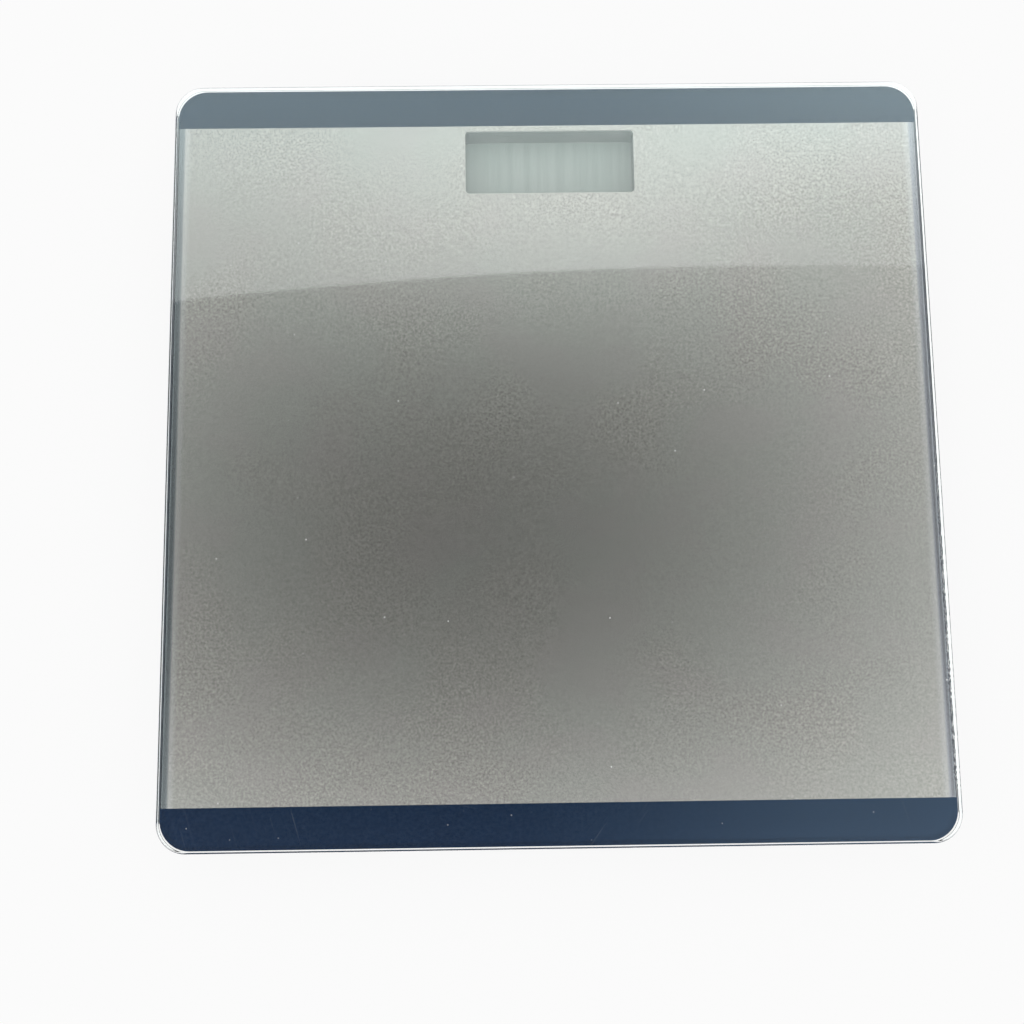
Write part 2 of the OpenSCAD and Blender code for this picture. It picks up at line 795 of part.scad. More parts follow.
module lcd_holder() {
    reach = holder_y1 - holder_y0;
    wall_h = z_lcd + 1 - z_holder;
    color([0.92, 0.92, 0.9])
        difference() {
            translate([window_x, (holder_y0 + holder_y1) / 2, z_holder])
                slab(holder_w, reach, wall_h, 1.5);
            translate([window_x, (holder_y0 + holder_y1) / 2, z_reflector])
                translate([-holder_w / 2 + rib_t, -reach / 2 + rib_t, 0])
                    cube([holder_w - 2 * rib_t, reach - 2 * rib_t, wall_h]);
            translate([ribbon_x - ribbon_w / 2 - lcd_clear, holder_y0 - 1, z_front_glass - lcd_clear])
                cube([ribbon_w + 2 * lcd_clear, 2 + rib_t, wall_h]);
        }
}

module rear_reflector() {
    color([0.8, 0.82, 0.8])
        lcd_sheet(z_reflector, film_t, 0);
}

module lcd_rear_glass() {
    color([0.75, 0.85, 0.83, 0.6])
        lcd_sheet(z_rear_glass, lcd_t, ledge_w);
}

module lcd_front_glass() {
    color([0.75, 0.85, 0.83, 0.6])
        lcd_sheet(z_front_glass, lcd_t, 0);
}

module front_polariser() {
    color([0.69, 0.72, 0.7])
        lcd_sheet(z_lcd - film_t, film_t, 0);
}

module lcd_ribbon() {
    y0 = holder_y0 + rib_t + lcd_clear + hair;
    y1 = holder_y0 - lcd_clear;
    y2 = board_y0 + board_d + lcd_clear;
    y3 = y2 - ribbon_bond;
    low = z_front_glass;
    high = z_board - ribbon_t - hair;
    color([0.75, 0.6, 0.3])
        translate([ribbon_x - ribbon_w / 2, 0, 0])
            rotate([90, 0, 90])
                linear_extrude(ribbon_w)
                    polygon([
                        [y0 + ledge_w - 2 * lcd_clear, low], [y1, low], [y2, high], [y3, high],
                        [y3, high + ribbon_t], [y2, high + ribbon_t], [y1, low + ribbon_t],
                        [y0 + ledge_w - 2 * lcd_clear, low + ribbon_t]
                    ]);
}

// Circuit board and unit button

module circuit_board() {
    color([0.1, 0.4, 0.22])
        difference() {
            translate([board_x0, board_y0, z_board])
                cube([board_w, board_d, board_t]);
            for (p = BOARD_SCREWS)
                translate([p.x, p.y, z_board - 1])
                    cylinder(h = board_t + 2, d = board_screw_d + 2 * screw_clear);
        }
}

module board_screws() {
    color([0.78, 0.79, 0.8])
        for (p = BOARD_SCREWS)
            translate([p.x, p.y, z_board - board_head_h])
                difference() {
                    union() {
                        cylinder(h = board_head_h, d = board_head_d);
                        cylinder(h = board_head_h + board_screw_l, d = board_screw_d);
                    }
                    cross_slot(board_head_d * 0.6);
                }
}

module controller_chip() {
    dome_r = 4.5;
    dome_h = 1.5;
    chip_side = 5;
    chip_up = 3;
    ball_r = (dome_r * dome_r + dome_h * dome_h) / (2 * dome_h);
    color([0.07, 0.07, 0.08])
        translate([button_at.x - chip_side, button_at.y + chip_up, z_board_top])
            rotate_extrude()
                intersection() {
                    translate([0, dome_h - ball_r]) circle(ball_r);
                    square([dome_r, dome_h]);
                }
}

module board_parts() {
    can_d = 4;
    can_h = 3.4;
    can_x = button_at.x + 2 * can_d;
    crystal = [3, 6, 2.4];
    crystal_up = 2;
    resistor = [1.6, 0.8, 0.5];
    row_down = 3.5;
    resistor_pitch = 2 * resistor.x;
    row_x = board_x0 + 2 * screw_edge;
    color([0.25, 0.22, 0.2])
        at_z(z_board_top) {
            for (y = [button_at.y - can_d, button_at.y + can_d / 2])
                translate([can_x, y, 0]) cylinder(h = can_h, d = can_d);
            translate([row_x, button_at.y + crystal_up, 0])
                cube(crystal);
            for (k = [1:6])
                translate([row_x + resistor_pitch * k, button_at.y - row_down, 0])
                    cube(resistor);
        }
}

module unit_switch() {
    color([0.15, 0.15, 0.16])
        translate([button_at.x, button_at.y, z_switch])
            difference() {
                translate([-switch_w / 2, -switch_w / 2, 0])
                    cube([switch_w, switch_w, switch_h]);
                at_z(-1)
                    cylinder(h = 1 + plunger_in + button_travel + button_clear,
                        r = plunger_r + button_clear);
            }
}

module switch_plunger() {
    color([0.9, 0.9, 0.88])
        translate([button_at.x, button_at.y, z_button_top])
            cylinder(h = z_switch + plunger_in - z_button_top, r = plunger_r);
}

module unit_button() {
    color([0.35, 0.37, 0.4])
        translate([button_at.x, button_at.y, 0]) {
            at_z(z_button) cylinder(h = z_button_flange + hair - z_button, d = button_d);
            at_z(z_button_flange) cylinder(h = flange_t, d = button_d + 2 * button_flange);
        }
}

// Batteries

module cell(x0, y, turn) {
    color([0.2, 0.22, 0.24])
        translate([x0 + (turn == 0 ? 0 : cell_l), y, z_cell])
            rotate([0, 90, turn]) {
                cylinder(h = cell_l - cap_nub_h, d = cell_d);
                cylinder(h = cell_l, d = cap_nub_d);
            }
}

module battery_cell_front() {
    cell(front_cell_x0, front_cell_y, 0);
}

module battery_cell_rear() {
    cell(rear_cell_x0, rear_cell_y, 180);
}

module coil() {
    round_n = 14;
    n = spring_turns * round_n;
    r = spring_wire / 2;
    climb = spring_l - spring_wire - 2 * hair;
    rings = [
        for (k = [0:n])
            let (a = 360 * k / round_n, f = k / n, big = spring_r - r + (spring_tip_r - spring_r) * f,
                mid = [big * cos(a), big * sin(a), r + hair + climb * f])
            [for (b = [315:-45:0]) mid + [r * cos(b) * cos(a), r * cos(b) * sin(a), r * sin(b)]]
    ];
    swept(rings);
}

module cell_springs() {
    color([0.8, 0.8, 0.82]) {
        translate([bay_x0 + contact_t, front_cell_y, z_cell]) rotate([0, 90, 0]) coil();
        translate([bay_x1 - contact_t, rear_cell_y, z_cell]) rotate([0, -90, 0]) coil();
    }
}

module contact_plate(x0, y, w) {
    translate([x0, y - w / 2, z_cell - contact_h / 2])
        cube([contact_t, w, contact_h]);
}

module dimple(x, y, turn) {
    translate([x, y, z_cell])
        rotate([0, turn, 0])
            cylinder(h = dimple_h, r = cap_nub_d / 2);
}

module board_tab(y) {
    translate([bay_x1 - contact_t, y, z_board_top])
        cube([board_x0 + 2 - bay_x1 + contact_t, tab_w, contact_t]);
}

module positive_contact() {
    color([0.8, 0.8, 0.82]) {
        contact_plate(bay_x1 - contact_t, front_cell_y, contact_w);
        dimple(bay_x1 - contact_t + hair, front_cell_y, -90);
        board_tab(front_cell_y);
    }
}

module negative_contact() {
    color([0.8, 0.8, 0.82]) {
        contact_plate(bay_x1 - contact_t, rear_cell_y, contact_w);
        board_tab(rear_cell_y);
    }
}

module bridge_contact() {
    color([0.8, 0.8, 0.82]) {
        contact_plate(bay_x0, bay_y, cell_pitch + contact_w);
        dimple(bay_x0 + contact_t - hair, rear_cell_y, 90);
    }
}

module battery_cover() {
    plate_l = bay_y1 - case_y0 - door_clear;
    rail_top = z_case + rail_t + door_clear;
    color([0.88, 0.88, 0.86]) {
        translate([bay_x0 + door_clear, case_y0, z_case])
            cube([bay_l - 2 * door_clear, plate_l, z_door_top - z_case]);
        translate([bay_x0 - groove_d + door_clear, case_y0, rail_top])
            cube([bay_l + 2 * groove_d - 2 * door_clear, plate_l, z_door_top - rail_top]);
        for (k = [0:thumb_ribs - 1])
            translate([bay_x0 + bay_l / 2 - thumb_w / 2, case_y0 + 3 + 2 * k, z_case - thumb_h])
                cube([thumb_w, 0.8, thumb_h + hair]);
    }
}

glass_platform();
silver_print();
rear_band();
front_band();
cover_coat();
foot_tape(0);  // foot_tape_front_left
foot_tape(1);  // foot_tape_front_right
foot_tape(2);  // foot_tape_rear_left
foot_tape(3);  // foot_tape_rear_right
foot_housing(0);  // foot_housing_front_left
foot_housing(1);  // foot_housing_front_right
foot_housing(2);  // foot_housing_rear_left
foot_housing(3);  // foot_housing_rear_right
load_cell(0);  // load_cell_front_left
load_cell(1);  // load_cell_front_right
load_cell(2);  // load_cell_rear_left
load_cell(3);  // load_cell_rear_right
gauge_resin(0);  // gauge_resin_front_left
gauge_resin(1);  // gauge_resin_front_right
gauge_resin(2);  // gauge_resin_rear_left
gauge_resin(3);  // gauge_resin_rear_right
foot_cap(0);  // foot_cap_front_left
foot_cap(1);  // foot_cap_front_right
foot_cap(2);  // foot_cap_rear_left
foot_cap(3);  // foot_cap_rear_right
foot_pad(0);  // foot_pad_front_left
foot_pad(1);  // foot_pad_front_right
foot_pad(2);  // foot_pad_rear_left
foot_pad(3);  // foot_pad_rear_right
lead(0);  // lead_front_left
lead(1);  // lead_front_right
lead(2);  // lead_rear_left
lead(3);  // lead_rear_right
lead_clips();
case_tape();
upper_case();
lower_cover();
cover_screws();
lcd_holder();
rear_reflector();
lcd_rear_glass();
lcd_front_glass();
front_polariser();
lcd_ribbon();
circuit_board();
board_screws();
controller_chip();
board_parts();
unit_switch();
switch_plunger();
unit_button();
battery_cell_front();
battery_cell_rear();
cell_springs();
positive_contact();
negative_contact();
bridge_contact();
battery_cover();
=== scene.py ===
import json
import math

import bpy
import bmesh
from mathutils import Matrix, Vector


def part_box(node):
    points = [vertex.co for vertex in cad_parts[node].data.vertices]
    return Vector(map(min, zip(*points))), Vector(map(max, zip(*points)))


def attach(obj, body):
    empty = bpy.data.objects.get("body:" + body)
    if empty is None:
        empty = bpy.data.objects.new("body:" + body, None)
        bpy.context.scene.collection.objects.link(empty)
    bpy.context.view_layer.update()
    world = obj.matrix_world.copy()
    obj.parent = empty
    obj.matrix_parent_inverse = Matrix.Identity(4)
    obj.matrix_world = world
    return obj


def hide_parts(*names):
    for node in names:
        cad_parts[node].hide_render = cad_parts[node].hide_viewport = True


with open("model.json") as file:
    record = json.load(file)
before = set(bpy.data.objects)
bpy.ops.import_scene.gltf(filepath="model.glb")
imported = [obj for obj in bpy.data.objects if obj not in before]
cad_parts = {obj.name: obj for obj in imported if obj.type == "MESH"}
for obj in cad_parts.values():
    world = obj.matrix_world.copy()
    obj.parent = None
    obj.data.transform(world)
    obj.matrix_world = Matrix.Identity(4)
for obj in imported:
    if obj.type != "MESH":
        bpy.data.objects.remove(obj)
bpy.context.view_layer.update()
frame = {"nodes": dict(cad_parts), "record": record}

NODES = frame["nodes"]
CORNERS = ("front_left", "front_right", "rear_left", "rear_right")
MM = 0.001

# The camera: its lens and sensor in millimetres, its place in metres and its turn in degrees
CAMERA_LENS, CAMERA_SENSOR = 33.32, 36
CAMERA_AT = (-0.01786, -0.06092, 0.35972)
CAMERA_TURN = (6.462, -0.331, -0.757)

FLOOR_HALF = 6
# How much of the floor glows: in what sees it, and in what it lights
FLOOR_SEEN, FLOOR_LIGHTS = 0.86, 0.75

# The soft panel over the display end, in metres: its height, its middle and half width across, and its
# straight rear edge; its front edge is at PANEL_FRONT and bows forward by PANEL_BOW a metre from BOW_MIDDLE
PANEL_HEIGHT, PANEL_MIDDLE, PANEL_HALF = 1.52, 0.1, 1.3
PANEL_REAR, PANEL_FRONT, PANEL_BOW, BOW_MIDDLE = 1.6, 0.638, 0.044, 0.5
# Its light in ramps, from one place across to another and from one level to another: near its front edge and
# in what shines behind glass a left ramp times a right one, and over PANEL_FAR it passes into a third
PANEL_FRONT_LEFT, PANEL_FRONT_RIGHT = (-0.9, 0.1, 2.2, 3.4), (0.1, 0.8, 1.0, 0.5)
PANEL_FAR, PANEL_FAR_LIGHT = (0.7, 1.0), (0.0, 0.9, 4.1, 5.4)
PANEL_BEHIND_LEFT, PANEL_BEHIND_RIGHT = (-0.7, 0.1, 1.0, 1.4), (0.3, 1.0, 1.0, 0.85)

# The room that shiny things mirror, by slope away from straight up: its darkest and lightest tone, how fast
# it gets lighter across, along and (from a slope of ROOM_FRONT on) forwards, and where it is darkest
ROOM_DARK, ROOM_LIGHT = 0.13, 1.4
ROOM_ACROSS, ROOM_ALONG, ROOM_NEAR = 2.1, 2.6, 12.0
ROOM_FRONT = -0.05
ROOM_X, ROOM_Y = 0.05, -0.09
# A direction that rises less than this takes its slope as if it rose by this much
ROOM_LOWEST = 0.2
# The share of that room that the bare glass surface mirrors
ROOM_GLINT = 0.4
# The even light: its level, where it comes from a little more, and how much more
SOFT_LEVEL, SOFT_FROM, SOFT_LEAN = 0.9, (-0.35, 0.45, 0.8), 0.14


# ---------------------------------------------------------------- camera and studio

def make_camera():
    data = bpy.data.cameras.new("camera")
    data.lens = CAMERA_LENS
    data.sensor_width = CAMERA_SENSOR
    camera = bpy.data.objects.new("camera", data)
    camera.location = CAMERA_AT
    camera.rotation_euler = [math.radians(angle) for angle in CAMERA_TURN]
    bpy.context.scene.collection.objects.link(camera)
    bpy.context.scene.camera = camera


class Shader:
    """A small helper that adds nodes to a material, a world or a node group and links them."""

    def __init__(self, tree):
        self.tree = tree

    def node(self, kind, inputs=None, **settings):
        made = self.tree.nodes.new(kind)
        for name, value in settings.items():
            setattr(made, name, value)
        for name, value in (inputs or {}).items():
            self.feed(made.inputs[name], value)
        return made

    def feed(self, socket, value):
        if isinstance(value, bpy.types.NodeSocket):
            self.tree.links.new(value, socket)
        elif isinstance(value, (tuple, list)) and socket.type == "RGBA":
            socket.default_value = (*value[:3], 1)
        else:
            socket.default_value = value

    def math(self, operation, a, b=0.0, c=0.0):
        return self.node("ShaderNodeMath", {0: a, 1: b, 2: c}, operation=operation).outputs[0]

    def remap(self, value, low, high, to_low=0.0, to_high=1.0, smooth=True):
        kind = "SMOOTHSTEP" if smooth else "LINEAR"
        inputs = {"Value": value, "From Min": low, "From Max": high, "To Min": to_low, "To Max": to_high}
        return self.node("ShaderNodeMapRange", inputs, interpolation_type=kind).outputs[0]

    def mix(self, factor, a, b):
        made = self.node("ShaderNodeMix", data_type="RGBA")
        self.feed(made.inputs["Factor"], factor)
        self.feed(made.inputs[6], a)
        self.feed(made.inputs[7], b)
        return made.outputs[2]

    def place(self, stretch=(1, 1, 1), turn=0.0):
        """Object coordinates for a pattern that is turned about Z and stretched along its own axes."""
        where = self.node("ShaderNodeTexCoord").outputs["Object"]
        inputs = {"Vector": where, "Scale": stretch, "Rotation": (0, 0, turn)}
        return self.node("ShaderNodeMapping", inputs, vector_type="TEXTURE").outputs[0]

    def noise(self, where, scale, detail=2.0, roughness=0.5):
        inputs = {"Vector": where, "Scale": scale, "Detail": detail, "Roughness": roughness}
        return self.node("ShaderNodeTexNoise", inputs).outputs[0]

    def axes(self):
        """Object coordinates as three values."""
        return self.node("ShaderNodeSeparateXYZ", {0: self.place()}).outputs

    def bump(self, height, distance):
        inputs = {"Height": height, "Distance": distance, "Strength": 1.0}
        return self.node("ShaderNodeBump", inputs).outputs[0]


def new_material(name):
    material = bpy.data.materials.new(name)
    material.use_nodes = True
    material.node_tree.nodes.clear()
    shader = Shader(material.node_tree)
    output = shader.node("ShaderNodeOutputMaterial")
    return material, shader, output.inputs["Surface"]


def principled(shader, surface, **inputs):
    """A Principled BSDF; underscores in the names stand for spaces."""
    values = {name.replace("_", " "): value for name, value in inputs.items()}
    shader.feed(surface, shader.node("ShaderNodeBsdfPrincipled", values).outputs[0])


def make_floor():
    """A white floor that shows as white, takes a soft shadow and is clear from below."""
    material, s, surface = new_material("floor_white")
    diffuse = s.node("ShaderNodeBsdfDiffuse", {"Color": (0.9, 0.9, 0.9)}).outputs[0]
    glow = s.node("ShaderNodeEmission", {"Color": (1, 1, 1), "Strength": 0.98}).outputs[0]
    clear = s.node("ShaderNodeBsdfTransparent").outputs[0]
    rays = s.node("ShaderNodeLightPath").outputs
    seen = s.math("MAXIMUM", rays["Is Camera Ray"], rays["Is Glossy Ray"])
    seen = s.math("MAXIMUM", seen, rays["Is Transmission Ray"])
    lights = s.math("MULTIPLY", rays["Is Diffuse Ray"], FLOOR_LIGHTS)
    share = s.math("MULTIPLY_ADD", seen, FLOOR_SEEN, lights)
    white = s.node("ShaderNodeMixShader", {0: share, 1: diffuse, 2: glow}).outputs[0]
    below = s.node("ShaderNodeNewGeometry").outputs["Backfacing"]
    s.feed(surface, s.node("ShaderNodeMixShader", {0: below, 1: white, 2: clear}).outputs[0])
    mesh = bpy.data.meshes.new("floor")
    bm = bmesh.new()
    bmesh.ops.create_grid(bm, x_segments=1, y_segments=1, size=FLOOR_HALF)
    bm.to_mesh(mesh)
    bm.free()
    floor = bpy.data.objects.new("floor", mesh)
    floor.data.materials.append(material)
    bpy.context.scene.collection.objects.link(floor)


def make_softbox():
    """A soft panel above the display end; the glass mirrors its bowed front edge as a line.

    It is bright and cooler at its far end in what mirrors it directly, and plain in what shines behind glass.
    """
    material, s, surface = new_material("softbox")
    x, y, _ = s.axes()
    front = s.math("MULTIPLY", s.remap(x, *PANEL_FRONT_LEFT), s.remap(x, *PANEL_FRONT_RIGHT))
    rear = s.remap(x, *PANEL_FAR_LIGHT)
    far = s.remap(y, *PANEL_FAR)
    mirrored = s.node("ShaderNodeMix", {0: far, 2: front, 3: rear}).outputs[0]
    behind = s.math("MULTIPLY", s.remap(x, *PANEL_BEHIND_LEFT), s.remap(x, *PANEL_BEHIND_RIGHT))
    through = s.math("GREATER_THAN", s.node("ShaderNodeLightPath").outputs["Transmission Depth"], 0.5)
    power = s.node("ShaderNodeMix", {0: through, 2: mirrored, 3: behind}).outputs[0]
    cool = s.math("MULTIPLY", far, s.math("SUBTRACT", 1.0, through))
    tint = s.mix(cool, (0.96, 1, 0.99), (0.82, 1, 0.99))
    s.feed(surface, s.node("ShaderNodeEmission", {"Color": tint, "Strength": power}).outputs[0])
    mesh = bpy.data.meshes.new("softbox")
    bm = bmesh.new()
    bmesh.ops.create_grid(bm, x_segments=32, y_segments=1, size=1)
    for vert in bm.verts:
        across = PANEL_MIDDLE + PANEL_HALF * vert.co.x
        front = PANEL_FRONT - PANEL_BOW * (across - BOW_MIDDLE) ** 2
        vert.co = (across, front if vert.co.y < 0 else PANEL_REAR, PANEL_HEIGHT)
    bm.to_mesh(mesh)
    bm.free()
    panel = bpy.data.objects.new("softbox", mesh)
    panel.data.materials.append(material)
    panel.visible_camera = False
    panel.visible_diffuse = False
    panel.visible_shadow = False
    bpy.context.scene.collection.objects.link(panel)


def make_world():
    """Even light all round; what shines or mirrors sees a room that is darkest overhead."""
    world = bpy.data.worlds.new("room")
    bpy.context.scene.world = world
    world.use_nodes = True
    world.cycles.sampling_method = "NONE"
    world.node_tree.nodes.clear()
    s = Shader(world.node_tree)
    direction = s.node("ShaderNodeTexCoord").outputs["Generated"]
    x, y, z = s.node("ShaderNodeSeparateXYZ", {0: direction}).outputs
    height = s.math("MAXIMUM", z, ROOM_LOWEST)
    slope = s.math("DIVIDE", y, height)
    across = s.math("ADD", s.math("DIVIDE", x, height), ROOM_X)
    along = s.math("ADD", slope, ROOM_Y)
    near = s.math("MAXIMUM", s.math("SUBTRACT", ROOM_FRONT, slope), 0.0)
    bowl = s.math("MULTIPLY_ADD", s.math("MULTIPLY", across, across), ROOM_ACROSS, ROOM_DARK)
    bowl = s.math("MULTIPLY_ADD", s.math("MULTIPLY", along, along), ROOM_ALONG, bowl)
    bowl = s.math("MULTIPLY_ADD", s.math("MULTIPLY", near, near), ROOM_NEAR, bowl)
    rays = s.node("ShaderNodeLightPath").outputs
    through = s.math("GREATER_THAN", rays["Transmission Depth"], 0.5)
    clear = s.math("MULTIPLY_ADD", through, 1 - ROOM_GLINT, ROOM_GLINT)
    shiny = s.math("MULTIPLY", s.math("MINIMUM", bowl, ROOM_LIGHT), clear)
    lean = s.node("ShaderNodeVectorMath", {0: direction, 1: SOFT_FROM}, operation="DOT_PRODUCT")
    soft = s.math("MULTIPLY_ADD", lean.outputs["Value"], SOFT_LEAN, SOFT_LEVEL)
    level = s.node("ShaderNodeMix", {0: rays["Is Diffuse Ray"], 2: shiny, 3: soft}).outputs[0]
    level = s.node("ShaderNodeMix", {0: rays["Is Camera Ray"], 2: level, 3: 1.0}).outputs[0]
    background = s.node("ShaderNodeBackground", {"Color": (1, 1, 1), "Strength": level}).outputs[0]
    s.feed(s.node("ShaderNodeOutputWorld").inputs["Surface"], background)


# ---------------------------------------------------------------- shared effects

def new_group(name, inputs, outputs):
    """An empty node group with named sockets: inputs are (name, kind, value)."""
    group = bpy.data.node_groups.new(name, "ShaderNodeTree")
    for label, kind, value in inputs:
        socket = group.interface.new_socket(label, in_out="INPUT", socket_type="NodeSocket" + kind)
        if value is not None:
            socket.default_value = value
    for label, kind in outputs:
        group.interface.new_socket(label, in_out="OUTPUT", socket_type="NodeSocket" + kind)
    s = Shader(group)
    return group, s, s.node("NodeGroupInput").outputs, s.node("NodeGroupOutput").inputs


def make_grain_group():
    """Moulded or printed grain: a fine height and a slow tone that both vary over the surface."""
    inputs = [("Size", "Float", 0.001), ("Patch", "Float", 0.03)]
    group, s, given, out = new_group("grain", inputs, [("Height", "Float"), ("Tone", "Float")])
    where = s.place()
    fine = s.noise(where, s.math("DIVIDE", 1.0, given["Size"]), 3.0, 0.6)
    slow = s.noise(where, s.math("DIVIDE", 1.0, given["Patch"]), 2.0)
    s.feed(out["Height"], fine)
    s.feed(out["Tone"], slow)
    return group


def make_wear_group():
    """Wear where edges stand out: a mask from the pointed parts of the surface, broken by noise."""
    inputs = [("Amount", "Float", 0.5)]
    group, s, given, out = new_group("edge_wear", inputs, [("Mask", "Float")])
    bevel = s.node("ShaderNodeBevel", {"Radius": 0.0006}, samples=4).outputs[0]
    true_normal = s.node("ShaderNodeNewGeometry").outputs["Normal"]
    bend = s.node("ShaderNodeVectorMath", {0: bevel, 1: true_normal}, operation="DOT_PRODUCT")
    edge = s.remap(bend.outputs["Value"], 0.995, 0.85)
    broken = s.remap(s.noise(s.place(), 900, 3.0), 0.35, 0.65)
    s.feed(out["Mask"], s.math("MULTIPLY", s.math("MULTIPLY", edge, broken), given["Amount"]))
    return group


def make_dust_group():
    """Loose dust on what lies flat: sparse specks of a given spacing and radius, and a film in patches."""
    inputs = [("Spacing", "Float", 0.02), ("Radius", "Float", 0.0002)]
    group, s, given, out = new_group("dust", inputs, [("Specks", "Float"), ("Film", "Float")])
    where = s.place()
    density = s.math("DIVIDE", 1.0, given["Spacing"])
    cells = s.node("ShaderNodeTexVoronoi", {"Vector": where, "Scale": density}, voronoi_dimensions="2D")
    chosen, size, _ = s.node("ShaderNodeSeparateColor", {0: cells.outputs["Color"]}).outputs
    reach = s.math("MULTIPLY", s.math("MULTIPLY", given["Radius"], density), s.remap(size, 0, 1, 0.3, 1))
    near = s.math("LESS_THAN", cells.outputs["Distance"], reach)
    s.feed(out["Specks"], s.math("MULTIPLY", near, s.remap(chosen, 0.35, 0.6)))
    s.feed(out["Film"], s.remap(s.noise(where, 60, 4.0), 0.4, 0.75))
    return group


def make_hairline_group():
    """Short hairline scratches lying in every direction."""
    group, s, given, out = new_group("hairlines", [("Amount", "Float", 1.0)], [("Mask", "Float")])
    total = None
    for turn in (0.3, 1.4, 2.5):
        lines = s.noise(s.place((1, 45, 1), turn), 1500, 1.0)
        patches = s.noise(s.place((1, 2, 1), turn), 30, 1.0)
        mask = s.math("MULTIPLY", s.remap(lines, 0.69, 0.74), s.remap(patches, 0.58, 0.70))
        total = mask if total is None else s.math("MAXIMUM", total, mask)
    s.feed(out["Mask"], s.math("MULTIPLY", total, given["Amount"]))
    return group


# How the print lies under the glass: its margin, how far it is off centre, its corner radius, how far it is
# turned in radians, the width of its dark border, how ragged its edge is, and the line round the window
PRINT_MARGIN, PRINT_SHIFT = Vector((0.42, 0.42, 0)) * MM, Vector((0.02, 0.05, 0)) * MM
PRINT_CORNER, PRINT_TURN = 10.8 * MM, 0.0004
PRINT_BORDER, PRINT_RAGGED = 0.4 * MM, 1.2 * MM
WINDOW_LINE = 0.3 * MM
WINDOW_BOX = frame["record"]["physics"]["openings"][0]["box_m"]
# Where the raggedness sets in: across, along and, short of the front corner, along again
RAGGED_ACROSS, RAGGED_ALONG, RAGGED_CORNER = (0.05, 0.13), (0.02, -0.05), (-0.124, -0.118)
# How much of the raggedness every edge has
RAGGED_ALL = 0.04


def make_print_edge_group():
    """Where the print ends: a hair off square and off centre, ragged on the front half of the right side.

    Inside is 1 on the print, Border marks its dark border and the line round the window, Depth is how far a
    point lies beyond the print's edge, so it is negative on the print, and Run is 1 where ink may have run on
    to the glass's lower arris.
    """
    outputs = [("Inside", "Float"), ("Border", "Float"), ("Depth", "Float"), ("Run", "Float")]
    group, s, _, out = new_group("print_edge", [], outputs)

    def beyond(where, reach):
        """How far a point lies beyond a rectangle of the given half size."""
        away = s.node("ShaderNodeVectorMath", {0: where}, operation="ABSOLUTE").outputs[0]
        past = s.node("ShaderNodeVectorMath", {0: away, 1: reach}, operation="SUBTRACT").outputs[0]
        past = s.node("ShaderNodeVectorMath", {0: past, 1: (0, 0, 0)}, operation="MAXIMUM").outputs[0]
        return s.node("ShaderNodeVectorMath", {0: past}, operation="LENGTH").outputs["Value"]

    low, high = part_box("glass_platform")
    reach = (high - low) / 2 - PRINT_MARGIN - Vector((PRINT_CORNER, PRINT_CORNER, 0))
    # A whole metre, so that height never counts
    reach.z = 1
    where = s.place()
    turned = s.place(turn=-PRINT_TURN)
    moved = s.node("ShaderNodeVectorMath", {0: turned, 1: PRINT_SHIFT}, operation="ADD").outputs[0]
    smooth = s.math("SUBTRACT", beyond(moved, reach), PRINT_CORNER)
    x, y, _ = s.node("ShaderNodeSeparateXYZ", {0: where}).outputs
    patches = s.remap(s.noise(where, 22, 1.0), 0.35, 0.55, 0.2, 1.0)
    amount = s.math("MULTIPLY", s.remap(x, *RAGGED_ACROSS), s.remap(y, *RAGGED_ALONG))
    amount = s.math("MULTIPLY", amount, s.remap(y, *RAGGED_CORNER))
    amount = s.math("MULTIPLY_ADD", s.math("MULTIPLY", amount, patches), 1 - RAGGED_ALL, RAGGED_ALL)
    wave = s.math("SUBTRACT", s.noise(where, 1300, 2.0, 0.6), 0.47)
    ragged = s.math("MULTIPLY_ADD", s.math("MULTIPLY", wave, amount), PRINT_RAGGED, smooth)
    s.feed(out["Inside"], s.math("LESS_THAN", ragged, 0.0))
    s.feed(out["Run"], s.math("LESS_THAN", ragged, PRINT_MARGIN.x))
    border = s.math("GREATER_THAN", ragged, -PRINT_BORDER)
    window_low, window_high = (Vector(corner) for corner in WINDOW_BOX)
    centre = (window_low + window_high) / 2
    half = (window_high - window_low) / 2
    around = s.node("ShaderNodeVectorMath", {0: where, 1: centre}, operation="SUBTRACT").outputs[0]
    outline = s.remap(beyond(around, (half.x, half.y, 1)), 1.2 * WINDOW_LINE, 0.8 * WINDOW_LINE)
    above = s.node("ShaderNodeSeparateXYZ", {0: around}).outputs[1]
    outline = s.math("MULTIPLY", outline, s.math("GREATER_THAN", above, -half.y))
    s.feed(out["Border"], s.math("MAXIMUM", border, s.math("MULTIPLY", outline, 0.6)))
    s.feed(out["Depth"], smooth)
    return group


GRAIN = make_grain_group()
WEAR = make_wear_group()
DUST = make_dust_group()
HAIRLINES = make_hairline_group()
PRINT_EDGE = make_print_edge_group()


def effect(s, group, **inputs):
    made = s.node("ShaderNodeGroup", node_tree=group)
    for name, value in inputs.items():
        s.feed(made.inputs[name], value)
    return made.outputs


# ---------------------------------------------------------------- materials

def clear_glass(s, surface, tint, roughness, ior, normal=None):
    """Clear glass that lets scattered light straight in, so that what lies behind it is lit."""
    inputs = {"Base Color": tint, "Roughness": roughness, "IOR": ior, "Transmission Weight": 1.0}
    if normal:
        inputs["Normal"] = normal
    glass = s.node("ShaderNodeBsdfPrincipled", inputs).outputs[0]
    clear = s.node("ShaderNodeBsdfTransparent").outputs[0]
    share = s.node("ShaderNodeLightPath").outputs["Is Diffuse Ray"]
    s.feed(surface, s.node("ShaderNodeMixShader", {0: share, 1: glass, 2: clear}).outputs[0])


